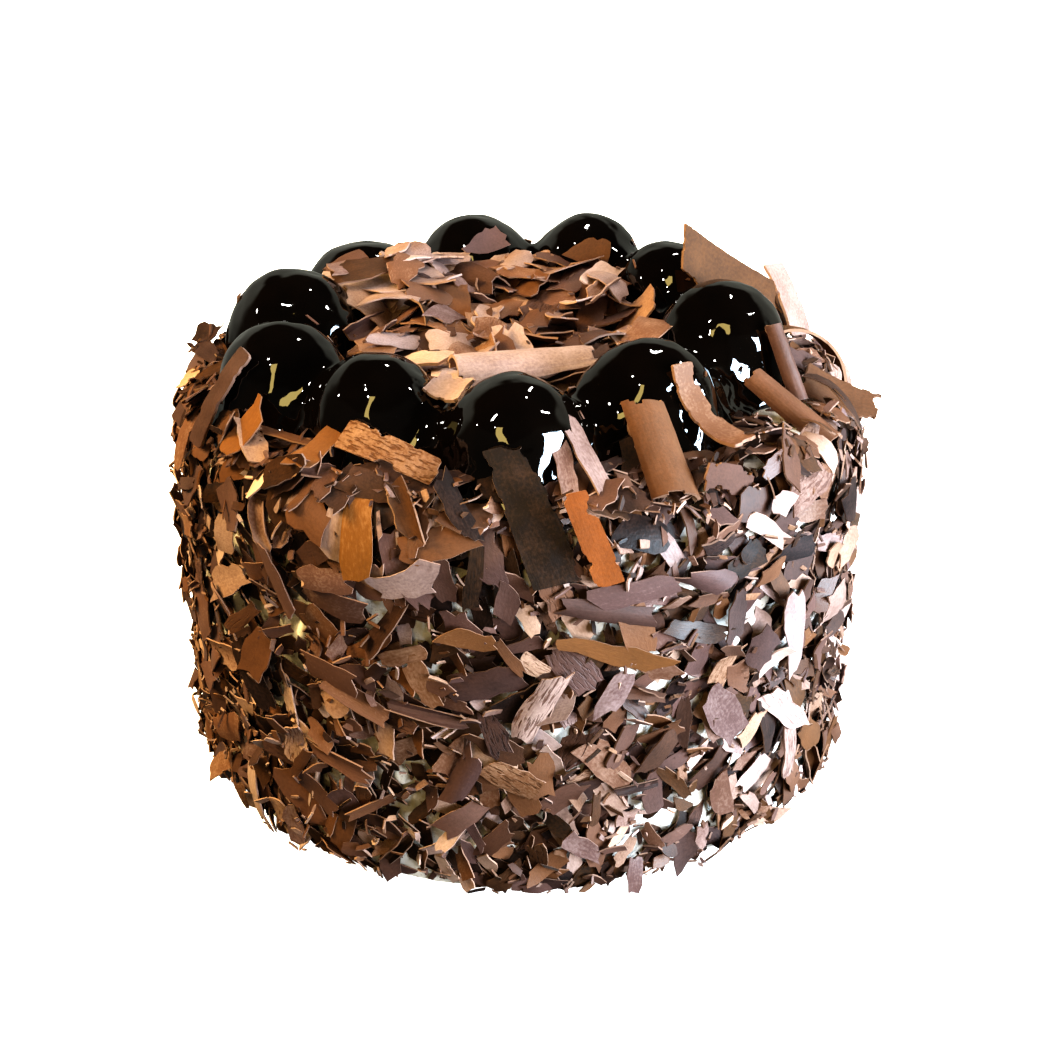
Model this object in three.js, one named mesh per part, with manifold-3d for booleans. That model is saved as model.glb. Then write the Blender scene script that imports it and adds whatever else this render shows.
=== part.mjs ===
// Profiterole cake: a tall round cream cake coated in chocolate flakes. A ring of glazed profiteroles
// stands on top round a heap of flakes, and large curled shavings lean against them.
// Millimetres, +Z up. The origin is the centre of the flat base, and -Y is the front.

import * as THREE from "three";
import { ParametricGeometry } from "three/addons/geometries/ParametricGeometry.js";
import { mergeVertices } from "three/addons/utils/BufferGeometryUtils.js";
import Module from "manifold-3d";

const wasm = await Module();
wasm.setup();

const radians = THREE.MathUtils.degToRad;
const mix = THREE.MathUtils.lerp;

// The cake under its flakes
const CAKE_RADIUS = 96;
const CAKE_HEIGHT = 112;
const SHOULDER_RADIUS = 12; // the soft top edge of the cream
const FOOT_RADIUS = 94; // the cream draws in a little where it meets the board
const FOOT_HEIGHT = 3;
const CAKE_SIDES = 48;

// The ring of profiteroles, set down by hand and so not quite even
const PROFITEROLES = [
  { x: -1, y: -67, width: 35, height: 26 },
  { x: -37, y: -52.5, width: 33, height: 26.5 },
  { x: -65, y: -31.5, width: 34.5, height: 27 },
  { x: -66, y: 12, width: 35, height: 27.5 },
  { x: -47, y: 44, width: 36, height: 25.5 },
  { x: -14, y: 62.5, width: 36, height: 27.5 },
  { x: 22, y: 63, width: 33.5, height: 28 },
  { x: 47, y: 41, width: 31.5, height: 26.5 },
  { x: 59, y: -1, width: 36.5, height: 28 },
  { x: 35, y: -44, width: 35, height: 27 },
];
const PROFITEROLE_FOOT = 0.66; // share of the width that stands on the cake
const PROFITEROLE_WAIST = 0.42; // share of the height where it is widest
const PROFITEROLE_LOBE = 0.018; // how far the bun is out of round
const PROFITEROLE_SIDES = 16;
const PROFITEROLE_ROWS = 8;

// The glaze that runs down between the profiteroles and over the shoulder
const GLAZE_REACH_IN = 17; // from the middle of the ring
const GLAZE_REACH_OUT = 19;
const GLAZE_SADDLE = 14.5; // height of the web between two profiteroles
const GLAZE_WEB = 11; // how wide that web spreads
const GLAZE_FILM = 1.8; // thickness where it spreads on the cream
const GLAZE_RUN = 2.2; // how far its outer edge wanders
const GLAZE_WAVES = [
  { count: 7, share: 0.6, start: 1 },
  { count: 13, share: 0.4, start: 2 },
];
const RING_BLEND = radians(20); // how far each profiterole draws the ring towards itself
const GLAZE_ROOM = 1; // clearance kept by the flakes
const GLAZE_SIDES = 50;
const GLAZE_SECTION = 8;

// Chocolate flakes on the wall and shoulder
const FLAKE_THICKNESS = 1.3;
const FLAKE_SINK = 1.3; // how deep the low end of a flake is pressed into the cream
const FLAKE_SKEW = 0.35; // most that a flake tapers or slants
const WALL_FLAKES = 144;
const WALL_FLAKE_LENGTH = [17, 27];
const WALL_FLAKE_WIDTH = [9, 14];
const WALL_FLAKE_LIFT = [5, 17]; // degrees
const WALL_LOWEST = 9; // middle of the lowest flakes, above the base
const SHOULDER_REACH = 6; // how far up the shoulder the flakes climb, along the surface
const RIM_FLAKES = 24; // these stand on the shoulder and lean in over the edge of the glaze
const RIM_FLAKE_LIFT = [16, 34];
const RIM_FLAKE_TURN = radians(40); // most that they turn from upright
const RIM_FLAKE_STRAY = 0.4; // most that one strays round the rim, as a share of their spacing

// The heap of flakes inside the ring
const HEAP_X = -5;
const HEAP_Y = 1;
const HEAP_RADIUS = 41;
const HEAP_RISE = 13; // height of its core
const HEAP_FLATNESS = 4; // a higher power gives its core a flatter top and a steeper side
const HEAP_FLAKES = 20;
const HEAP_SPREAD = 29; // radius that holds the middles of its flakes
const HEAP_FLAKE_LENGTH = [14, 21];
const HEAP_FLAKE_WIDTH = [9, 14];
const HEAP_FLAKE_LIFT = [6, 20];
const HEAP_SIDES = 24;

// Large shavings, each set by the angle round the cake, the distance from its axis, the height of its
// middle and how far its face leans back from upright. Yaw turns it on that face, lift raises one end
// and tip raises one side. Taper narrows one end and slant skews both, where they aren't the usual ones.
const BEND_STEPS = 5;
const ROLL_STEPS = 8;
const SHAVING_TAPER = 0.18;
const SHAVING_SLANT = 0.15;
const SHAVINGS = {
  bark: { angle: -113, radius: 84.2, height: 124, face: 42, yaw: -12, long: 27, wide: 9, bend: 60 },
  dark: { angle: -88, radius: 93.8, height: 114, face: 29, yaw: 111, long: 35, wide: 13, bend: 140 },
  orange: { angle: -79.5, radius: 101.2, height: 110, face: 9, yaw: 110, long: 24, wide: 8, bend: 50 },
  brown: { angle: -63.5, radius: 82.5, height: 124, face: 53, yaw: 86, long: 30, wide: 13, roll: 7 },
  folded: { angle: -51, radius: 77.6, height: 126.5, face: 57, yaw: 95, long: 28, wide: 9, bend: -16 },
  quill: { angle: -23, radius: 84, height: 118, face: 62, yaw: 80, long: 31, wide: 12, roll: 3.2 },
  spike: {
    angle: -6, radius: 94, height: 110.8, face: 64, yaw: -84, lift: 2, tip: 22,
    long: 23, wide: 13, bend: -60,
  },
  stick: { angle: -14, radius: 79.6, height: 125, face: 31, yaw: 74, lift: 4, long: 24, wide: 9, roll: 2 },
  plate: {
    angle: -54.6, radius: 93.4, height: 115.5, face: 11, yaw: -19, tip: -4,
    long: 15, wide: 9, bend: 60,
  },
  ribbon: {
    angle: 7.5, radius: 90.4, height: 119.6, face: 79, yaw: -86, lift: -27, tip: -14,
    long: 30, wide: 8, bend: 17,
  },
  sail: { angle: 23, radius: 91, height: 123.8, face: 14, yaw: 61, tip: -55, long: 22, wide: 11.5, bend: 60 },
  upright: {
    angle: 21.3, radius: 67.4, height: 133.2, face: 90, yaw: 85.6, lift: 39, tip: 113,
    long: 39, wide: 15.7, bend: 90, taper: 0.46, slant: 0.6,
  },
  leaf: { angle: 70, radius: 95, height: 117, face: 24, yaw: 70, long: 29, wide: 14, bend: 26 },
  blade: { angle: 118, radius: 95, height: 115, face: 26, yaw: 108, long: 32, wide: 11, bend: 34 },
  shard: { angle: 152, radius: 95, height: 115, face: 26, yaw: 64, long: 27, wide: 13, bend: 34 },
  strip: {
    angle: -152, radius: 92.4, height: 124, face: 21, yaw: 74.5, lift: -5, tip: 12,
    long: 28.5, wide: 7, bend: 60, slant: -0.1,
  },
  curl: {
    angle: -87, radius: 33.5, height: 132.8, face: 90, yaw: 19, lift: -4.5,
    long: 43, wide: 18, roll: 9.5, taper: 0.6,
  },
  cup: { angle: -107.6, radius: 59, height: 132.3, face: 82, yaw: 84, long: 13, wide: 10, roll: -9 },
  chip: { angle: -138, radius: 37, height: 127.6, face: 90, yaw: 35, lift: 14, long: 15, wide: 13, bend: 24 },
};

const GAP = 0.35; // clearance between neighbouring solids
const WELD_DISTANCE = 1e-3; // corners closer than this are one corner
const WALL_SEED = 7;
const RIM_SEED = 11;
const HEAP_SEED = 23;
const GOLDEN_ANGLE = Math.PI * (3 - Math.sqrt(5));
const WALL_TOP = CAKE_HEIGHT - SHOULDER_RADIUS;
const SHOULDER_ARC = (SHOULDER_RADIUS * Math.PI) / 2;

// Repeatable random numbers from 0 to 1.
function seededRandom(seed) {
  let state = seed;
  return () => {
    state = (state + 0x6d2b79f5) | 0;
    let t = Math.imul(state ^ (state >>> 15), 1 | state);
    t = (t + Math.imul(t ^ (t >>> 7), 61 | t)) ^ t;
    return ((t ^ (t >>> 14)) >>> 0) / 4294967296;
  };
}

// A closed geometry as a solid, without the triangles that collapse at a pole.
function solidOf(geometry) {
  const bare = geometry.clone();
  bare.deleteAttribute("normal");
  bare.deleteAttribute("uv");
  const merged = mergeVertices(bare, WELD_DISTANCE);
  const corners = merged.index.array;
  const kept = [];
  for (let i = 0; i < corners.length; i += 3) {
    const [a, b, c] = [corners[i], corners[i + 1], corners[i + 2]];
    if (a !== b && b !== c && c !== a) kept.push(a, b, c);
  }
  const vertProperties = merged.getAttribute("position").array;
  return new wasm.Manifold(new wasm.Mesh({ numProp: 3, vertProperties, triVerts: new Uint32Array(kept) }));
}

function geometryOf(solid) {
  const mesh = solid.getMesh();
  return new THREE.BufferGeometry()
    .setAttribute("position", new THREE.BufferAttribute(mesh.vertProperties, mesh.numProp))
    .setIndex(new THREE.BufferAttribute(mesh.triVerts, 1));
}

// The main body of a solid, with sealed hollows filled and loose scraps dropped.
function mainBody(solid) {
  return solid.decompose().reduce((best, body) => (body.volume() > best.volume() ? body : best));
}

function fused(solids) {
  return mainBody(wasm.Manifold.union(solids));
}

function cutRound(solid, cutters) {
  return mainBody(cutters.reduce((left, cutter) => left.subtract(cutter), solid));
}

// The cake's outline at a distance along its surface from the base edge: up the wall, round the
// shoulder and inwards over the top. The slope is 0 on the wall and a right angle on the top.
function outlineAt(distance) {
  if (distance <= WALL_TOP) return { radius: CAKE_RADIUS, height: distance, slope: 0 };
  const slope = Math.min((distance - WALL_TOP) / SHOULDER_RADIUS, Math.PI / 2);
  const inwards = Math.max(distance - WALL_TOP - SHOULDER_ARC, 0);
  return {
    radius: CAKE_RADIUS - SHOULDER_RADIUS + SHOULDER_RADIUS * Math.cos(slope) - inwards,
    height: WALL_TOP + SHOULDER_RADIUS * Math.sin(slope),
    slope,
  };
}

// Height of the cream at a distance from the cake's axis.
function creamHeight(radius) {
  const past = Math.max(radius - (CAKE_RADIUS - SHOULDER_RADIUS), 0);
  const drop = SHOULDER_RADIUS - Math.sqrt(Math.max(SHOULDER_RADIUS ** 2 - past ** 2, 0));
  return CAKE_HEIGHT - drop;
}

// A frame at a place on or over the cake: X runs round the cake, Y up the face and Z straight out of it.
// The slope is how far the face leans back from upright.
function frameAt(angle, { radius, height, slope }) {
  const round = new THREE.Vector3(-Math.sin(angle), Math.cos(angle), 0);
  const out = new THREE.Vector3(Math.cos(angle), Math.sin(angle), 0).applyAxisAngle(round, -slope);
  const up = new THREE.Vector3().crossVectors(out, round);
  return new THREE.Matrix4()
    .makeBasis(round, up, out)
    .setPosition(radius * Math.cos(angle), radius * Math.sin(angle), height);
}

// A flake in its place on a frame: turned by yaw, with one end or one side raised, and moved out.
function onFrame(frame, { yaw, lift = 0, tip = 0, out = 0 }) {
  const turn = new THREE.Matrix4().makeRotationFromEuler(new THREE.Euler(tip, -lift, yaw, "ZYX"));
  return frame.clone().multiply(new THREE.Matrix4().makeTranslation(0, 0, out)).multiply(turn);
}

// A thin slab of chocolate: flat, curled along its length by bend or across its width by roll. A negative
// bend turns the ends out. The taper narrows one end and the slant skews both.
function flakeSolid(shape, matrix, clearance = 0) {
  const { long, wide, bend = 0, roll = 0, taper, slant } = shape;
  const geometry = new THREE.BoxGeometry(
    long + 2 * clearance,
    wide + 2 * clearance,
    FLAKE_THICKNESS + 2 * clearance,
    bend ? BEND_STEPS : 1,
    roll ? ROLL_STEPS : 1,
    1,
  );
  const position = geometry.getAttribute("position");
  for (let i = 0; i < position.count; i++) {
    const side = position.getY(i) * (1 - (taper * position.getX(i)) / long);
    const along = position.getX(i) + slant * side;
    const thick = position.getZ(i);
    if (roll) {
      const arc = side / roll;
      position.setXYZ(i, along, (roll + thick) * Math.sin(arc), (roll + thick) * Math.cos(arc) - roll);
    } else if (bend) {
      const arc = along / bend;
      position.setXYZ(i, (bend + thick) * Math.sin(arc), side, (bend + thick) * Math.cos(arc) - bend);
    } else {
      position.setXYZ(i, along, side, thick);
    }
  }
  return solidOf(geometry.applyMatrix4(matrix));
}

// A random flat flake between two limits, with its low end pressed into what it lies on.
function randomFlake(random, lengths, widths, lifts) {
  const between = ([low, high]) => mix(low, high, random());
  const long = between(lengths);
  const lift = radians(between(lifts));
  const shape = {
    long,
    wide: between(widths),
    taper: between([-FLAKE_SKEW, FLAKE_SKEW]),
    slant: between([-FLAKE_SKEW, FLAKE_SKEW]),
  };
  const place = { yaw: random() * 2 * Math.PI, lift, out: (long / 2) * Math.sin(lift) - FLAKE_SINK };
  return { shape, place };
}

// The cake's own form, from the middle of the base round to the middle of the top.
function cakeCore() {
  const shoulderRows = 3;
  const outline = [
    [0, 0],
    [FOOT_RADIUS, 0],
    [CAKE_RADIUS, FOOT_HEIGHT],
    [CAKE_RADIUS, WALL_TOP],
  ];
  for (let i = 1; i <= shoulderRows; i++) {
    const { radius, height } = outlineAt(WALL_TOP + (SHOULDER_ARC * i) / shoulderRows);
    outline.push([radius, height]);
  }
  outline.push([0, CAKE_HEIGHT]);
  const rows = outline.length - 1;
  const surface = (u, v, target) => {
    const [radius, height] = outline[Math.round(v * rows)];
    target.set(radius * Math.cos(2 * Math.PI * u), radius * Math.sin(2 * Math.PI * u), height);
  };
  return solidOf(new ParametricGeometry(surface, CAKE_SIDES, rows));
}

// Flakes spread over the wall and shoulder on a spiral, so that they cover it evenly. None reaches below
// the base.
function wallFlakes() {
  const random = seededRandom(WALL_SEED);
  const highest = WALL_TOP + SHOULDER_REACH;
  return Array.from({ length: WALL_FLAKES }, (_, i) => {
    const { shape, place } = randomFlake(random, WALL_FLAKE_LENGTH, WALL_FLAKE_WIDTH, WALL_FLAKE_LIFT);
    const down = Math.abs(Math.sin(place.yaw)) * shape.long + Math.abs(Math.cos(place.yaw)) * shape.wide;
    const distance = Math.max(mix(WALL_LOWEST, highest, (i + 0.5) / WALL_FLAKES), down / 2 + FOOT_HEIGHT);
    const frame = frameAt(i * GOLDEN_ANGLE, outlineAt(distance));
    return flakeSolid(shape, onFrame(frame, place));
  });
}

// Flakes that stand round the rim, with their upper ends lifted clear of the shoulder.
function rimFlakes() {
  const random = seededRandom(RIM_SEED);
  const midShoulder = outlineAt(WALL_TOP + SHOULDER_ARC / 2);
  return Array.from({ length: RIM_FLAKES }, (_, i) => {
    const { shape, place } = randomFlake(random, WALL_FLAKE_LENGTH, WALL_FLAKE_WIDTH, RIM_FLAKE_LIFT);
    const yaw = Math.PI / 2 + mix(-RIM_FLAKE_TURN, RIM_FLAKE_TURN, random());
    const frame = frameAt((2 * Math.PI * (i + RIM_FLAKE_STRAY * random())) / RIM_FLAKES, midShoulder);
    return flakeSolid(shape, onFrame(frame, { ...place, yaw }));
  });
}

// The cake with its coat of flakes, which stop short of the glaze and the profiteroles.
function cakeBody() {
  const coat = wasm.Manifold.union([...wallFlakes(), ...rimFlakes()]);
  const room = wasm.Manifold.union([glazeRing(GLAZE_ROOM, FLAKE_SINK), ...roomForProfiteroles]);
  return fused([cakeCore(), coat.subtract(room)]);
}

// One profiterole: a bun that bulges over its flat foot, a little out of round, with a soft crown.
function profiteroleSolid({ x, y, width, height }, index, clearance = 0) {
  const waist = height * PROFITEROLE_WAIST;
  const lowest = -Math.acos(PROFITEROLE_FOOT);
  const depth = waist / Math.sin(-lowest);
  const surface = (u, v, target) => {
    const row = Math.round(v * PROFITEROLE_ROWS);
    const round = 2 * Math.PI * u;
    const climb = mix(lowest, Math.PI / 2, Math.max(row - 1, 0) / (PROFITEROLE_ROWS - 1));
    const lobes = 1 + PROFITEROLE_LOBE * (Math.sin(2 * round + index) + Math.sin(3 * round - 2 * index));
    const radius = row === 0 ? 0 : (width / 2) * Math.cos(climb) * lobes;
    const rise = climb < 0 ? depth * Math.sin(climb) : (height - waist) * Math.sin(climb);
    target.set(radius * Math.cos(round), radius * Math.sin(round), rise);
  };
  const grow = 1 + (2 * clearance) / Math.min(width, height);
  const geometry = new ParametricGeometry(surface, PROFITEROLE_SIDES, PROFITEROLE_ROWS);
  return solidOf(geometry.scale(grow, grow, grow).translate(x, y, CAKE_HEIGHT + GAP + waist));
}

// How far from the cake's axis the ring of profiteroles runs at an angle: a blend of its nearest buns.
function ringRadius(round) {
  let total = 0;
  let weights = 0;
  for (const { x, y } of PROFITEROLES) {
    const turn = Math.atan2(y, x) - round;
    const apart = Math.atan2(Math.sin(turn), Math.cos(turn));
    const weight = Math.exp(-((apart / RING_BLEND) ** 2));
    total += weight * Math.hypot(x, y);
    weights += weight;
  }
  return total / weights;
}

// The glaze as a ring: a high web along the middle, which thins to a film on the cream and follows the
// shoulder down. It can be grown by a clearance and reach deeper than the cream's surface.
function glazeRing(clearance = 0, deeper = 0) {
  const surface = (u, v, target) => {
    const round = 2 * Math.PI * u;
    const turn = 2 * Math.PI * v;
    const waves = GLAZE_WAVES.map(({ count, share, start }) => share * Math.sin(count * round + start));
    const wander = GLAZE_RUN * waves.reduce((sum, wave) => sum + wave);
    const middle = ringRadius(round);
    const share = (1 - Math.cos(turn)) / 2;
    const from = middle - GLAZE_REACH_IN - clearance;
    const radius = mix(from, middle + GLAZE_REACH_OUT + wander + clearance, share);
    const web = Math.exp(-(((radius - middle) / GLAZE_WEB) ** 2));
    const film = Math.sqrt(Math.max(Math.sin(Math.PI * share), 0));
    const onTop = v > 0.5 && v < 1;
    const thickness = film * GLAZE_FILM + web * (GLAZE_SADDLE - GLAZE_FILM) + clearance;
    const height = creamHeight(radius) + 2 * GAP + (onTop ? thickness : -deeper);
    target.set(radius * Math.cos(round), radius * Math.sin(round), height);
  };
  return solidOf(new ParametricGeometry(surface, GLAZE_SIDES, GLAZE_SECTION));
}

function glazeSolid() {
  return cutRound(glazeRing(), roomForProfiteroles);
}

// The heap: a low dome inside the ring with flakes lying on it every way.
function heapSolid() {
  const rows = 5;
  const fall = (radius) => (radius / HEAP_RADIUS) ** HEAP_FLATNESS;
  const domeHeight = (radius) => HEAP_RISE * Math.sqrt(Math.max(1 - fall(radius), 0));
  const surface = (u, v, target) => {
    const row = Math.round(v * rows);
    const radius = row === 0 ? 0 : HEAP_RADIUS * Math.cos(((row - 1) / (rows - 1)) * (Math.PI / 2));
    const height = row === 0 ? 0 : domeHeight(radius);
    target.set(radius * Math.cos(2 * Math.PI * u), radius * Math.sin(2 * Math.PI * u), height);
  };
  const core = solidOf(new ParametricGeometry(surface, HEAP_SIDES, rows));
  const random = seededRandom(HEAP_SEED);
  const flakes = Array.from({ length: HEAP_FLAKES }, (_, i) => {
    const { shape, place } = randomFlake(random, HEAP_FLAKE_LENGTH, HEAP_FLAKE_WIDTH, HEAP_FLAKE_LIFT);
    const radius = HEAP_SPREAD * Math.sqrt((i + 0.5) / HEAP_FLAKES);
    const round = i * GOLDEN_ANGLE;
    const frame = new THREE.Matrix4().setPosition(
      radius * Math.cos(round),
      radius * Math.sin(round),
      domeHeight(radius),
    );
    return flakeSolid(shape, onFrame(frame, place));
  });
  return fused([core, ...flakes]).translate(HEAP_X, HEAP_Y, CAKE_HEIGHT + GAP);
}

function shavingSolid(shaving, clearance = 0) {
  const { angle, face, yaw, lift = 0, tip = 0 } = shaving;
  const frame = frameAt(radians(angle), { ...shaving, slope: radians(face) });
  const place = { yaw: radians(yaw), lift: radians(lift), tip: radians(tip) };
  const shape = { taper: SHAVING_TAPER, slant: SHAVING_SLANT, ...shaving };
  return flakeSolid(shape, onFrame(frame, place), clearance);
}

// Finishes, as three.js materials
const flakeCoat = new THREE.MeshStandardMaterial({ color: 0x5a3925, roughness: 0.6, metalness: 0 });
const heapFlakes = new THREE.MeshStandardMaterial({ color: 0x6b452c, roughness: 0.6, metalness: 0 });
const shavingChocolate = new THREE.MeshStandardMaterial({ color: 0x68442f, roughness: 0.5, metalness: 0 });
const glazedBun = new THREE.MeshStandardMaterial({ color: 0x120a07, roughness: 0.08, metalness: 0 });
const pouredGlaze = new THREE.MeshStandardMaterial({ color: 0x0f0806, roughness: 0.06, metalness: 0 });

function addPiece(group, name, solid, material) {
  const mesh = new THREE.Mesh(geometryOf(solid), material);
  mesh.name = name;
  group.add(mesh);
}

const cake = new THREE.Group();
const roomForProfiteroles = PROFITEROLES.map((bun, i) => profiteroleSolid(bun, i, GAP));
const roomForShavings = Object.values(SHAVINGS).map((shaving) => shavingSolid(shaving, GAP));

addPiece(cake, "cake_body", cutRound(cakeBody(), roomForShavings), flakeCoat);
addPiece(cake, "flake_heap", cutRound(heapSolid(), roomForShavings), heapFlakes);
addPiece(cake, "glaze", glazeSolid(), pouredGlaze);
PROFITEROLES.forEach((bun, i) => {
  const number = String(i + 1).padStart(2, "0");
  addPiece(cake, `profiterole_${number}`, profiteroleSolid(bun, i), glazedBun);
});
Object.entries(SHAVINGS).forEach(([name, shaving]) => {
  addPiece(cake, `shaving_${name}`, shavingSolid(shaving), shavingChocolate);
});

export default cake;
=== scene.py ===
"""The looks of a profiterole cake: cream under chocolate flakes, glazed buns and large shavings."""

import math

import bmesh
import bpy
import numpy as np
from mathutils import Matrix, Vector, kdtree, noise
from mathutils.bvhtree import BVHTree


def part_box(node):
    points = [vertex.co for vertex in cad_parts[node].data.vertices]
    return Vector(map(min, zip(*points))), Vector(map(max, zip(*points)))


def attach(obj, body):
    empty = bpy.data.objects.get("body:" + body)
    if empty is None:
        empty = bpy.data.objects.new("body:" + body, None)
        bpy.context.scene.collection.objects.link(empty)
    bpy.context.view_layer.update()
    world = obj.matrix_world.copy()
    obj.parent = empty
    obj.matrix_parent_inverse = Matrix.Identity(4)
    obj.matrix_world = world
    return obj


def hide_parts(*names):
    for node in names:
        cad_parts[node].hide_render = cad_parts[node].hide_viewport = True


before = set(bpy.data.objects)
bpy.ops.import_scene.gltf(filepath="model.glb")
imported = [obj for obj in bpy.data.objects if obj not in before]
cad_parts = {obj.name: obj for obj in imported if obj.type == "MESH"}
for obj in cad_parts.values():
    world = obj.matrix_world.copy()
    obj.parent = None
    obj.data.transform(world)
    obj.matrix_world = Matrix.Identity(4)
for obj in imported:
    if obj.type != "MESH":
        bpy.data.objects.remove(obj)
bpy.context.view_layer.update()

# Sizes read from the frame, in metres
MM = 0.001
BUNS = sorted(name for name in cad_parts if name.startswith("profiterole_"))
SHAVINGS = sorted(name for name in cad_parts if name.startswith("shaving_"))
BODY_LOW, BODY_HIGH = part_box("cake_body")
HEAP_LOW, HEAP_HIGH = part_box("flake_heap")
BUN_GAP = 0.35 * MM
CREAM_TOP = min(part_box(name)[0].z for name in BUNS) - BUN_GAP
COAT = 7.2 * MM
CREAM_RADIUS = min(BODY_HIGH.x - BODY_LOW.x, BODY_HIGH.y - BODY_LOW.y) / 2 - COAT
HEAP_MIDDLE = (HEAP_LOW + HEAP_HIGH) / 2
HEAP_RADIUS = (HEAP_HIGH.x - HEAP_LOW.x) / 2

# Cream: its rounded shoulder, what is cut off below, its skin, its swells as size and height, and the
# dabs that squeeze out between the flakes, most of them towards one side
SHOULDER = 12 * MM
CREAM_SPARE = 4 * MM
CREAM_VOXEL = 1.3 * MM
CREAM_SWELLS = [(22 * MM, 1.6 * MM), (6 * MM, 0.6 * MM), (3 * MM, 0.5 * MM)]
CREAM_CREASE = math.radians(50)
DABS = 360
DAB_SIZE = (1.1 * MM, 2.3 * MM)
DAB_STRETCH = (1.0, 2.8)
DAB_RISE = 0.9
DAB_HEIGHTS = (0.03, 0.86)
DAB_EDGE = 0.5 * MM
DAB_SIDE = math.radians(-54)
DAB_LEAST = 0.06

# The core under the heap's flakes: shares of the heap's width and rise, and its swells as size and height
CORE_WIDTH = 0.94
CORE_RISE = 0.55
CORE_SWELL = (12 * MM, 2 * MM)

# Glaze: the height of a bun's waist, the film on it, the saddle between two buns, the hem and the skirt
# at a bun's foot, the pool between two, how deep it sinks in the cream, its skin, the lumps that make each
# bun uneven, the ripples low down, and how it gives way under a large shaving
WAIST = 10.5 * MM
FILM = 2.0 * MM
SADDLE_HEIGHT = 17 * MM
SADDLE_WIDTH = 15 * MM
SADDLE_LENGTH = 0.6
HEM = 4.5 * MM
HEM_HEIGHT = 12 * MM
SKIRT = 5.5 * MM
SKIRT_HEIGHT = 2.4 * MM
POOL = 21 * MM
GLAZE_DEPTH = 2.4 * MM
GLAZE_VOXEL = 1.0 * MM
GLAZE_SMOOTHING = 140
GLAZE_SWELLS = [(16 * MM, 2.2 * MM), (6 * MM, 0.5 * MM)]
GLAZE_CREASE = math.radians(60)
LUMPS = 3
LUMP_SIZE = 0.6
LUMP_REACH = 0.52
LUMP_RISE = (-0.35, 0.12)
LUMP_TURN = (-0.5, 0.5)
LUMP_VARIES = (0.9, 1.08)
RIPPLE_HEIGHT = 15 * MM
RIPPLE = (4 * MM, 1.2 * MM)
PRESS_REACH = 3 * MM
PRESS_ROOM = 0.5 * MM

# Large shavings: thickness, how finely they are cut up, and how their edges crumble and their faces crumple
SHAVING_THICK = 0.9 * MM
SHAVING_STEP = 1.1 * MM
SHAVING_CUTS = (6, 22)
SHAVING_SMOOTHING = 10
SHARP = math.radians(70)
NIBBLE = 2.8 * MM
NIBBLE_GRAIN = 6 * MM
CRUMPLE = 0.2 * MM
CRUMPLE_WIDE = 5 * MM
CRUMPLE_FINE = 2 * MM
FLAKE_CREASE = math.radians(40)

# The maps of heights that flakes settle on. A flake rests where this share of it clears what lies under it,
# and follows a slope up to the steepest. Only the wall above a share of its height is near the large shavings
CELL = 1.0 * MM
SHAVING_ROOM = 0.8 * MM
FLOOR_ROOM = 0.4 * MM
WALL_RESTS, WALL_STEEPEST = 0.965, 1.2
TOP_RESTS, TOP_STEEPEST = 0.85, 1.8
CHOSEN_RESTS, CHOSEN_STEEPEST = 0.8, 2.2
NEAR_SHAVINGS = 0.6
TOP_REACH = 106 * MM
TOP_CELLS = int(2 * TOP_REACH / CELL)
WALL_TURN = 2 * math.pi * CREAM_RADIUS
WALL_STRAIGHT = CREAM_TOP - SHOULDER
WALL_LENGTH = WALL_STRAIGHT + SHOULDER * math.pi / 2 + 12 * MM
WHOLE_WALL = (0, WALL_STRAIGHT + 1.2 * SHOULDER)
UPPER_WALL = (0.5 * WALL_STRAIGHT, WALL_STRAIGHT + SHOULDER)

# How flakes lean, in degrees: the usual spread, and the range and share of those that stand up more
USUAL_LEAN = 9
STEEP_SHARE = 0.25
WALL_STEEP = (16, 42)
TOP_STEEP = (14, 36)

# A flake takes the lowest of this many places
TRIES = 3

# The most of a dab of cream that a flake may hide
BARE_LITTLE = 0.2
BARE_HALF = 0.55

# Shavings picked out by the photo: x and y in mm, yaw and lean in degrees, length and width in mm,
# bend in radians, whether it bends crosswise, then its look: tone, cracking, warmth and dullness
CHOSEN_SHAVINGS = [
    (17, -82, -62, 8, 22, 6, 0.6, True, 0.6, 0.0, 0.1, 0.5),
    (12, -86, -75, 12, 18, 5, 0.4, True, 0.56, 0.0, 0.2, 0.5),
    (-52, -72, 60, 8, 16, 8, 0.4, False, 0.45, 0.0, 0.9, 0.6),
    (-72, -58, 40, 6, 15, 9, 0.4, False, 0.45, 0.0, 0.9, 0.6),
    (-10, 52, 12, 4, 12, 8, 0.3, False, 0.4, 0.0, 0.0, 0.6),
    (23, 49, -20, 4, 12, 10, 0.4, True, 0.3, 0.0, 0.7, 0.6),
]

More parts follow.
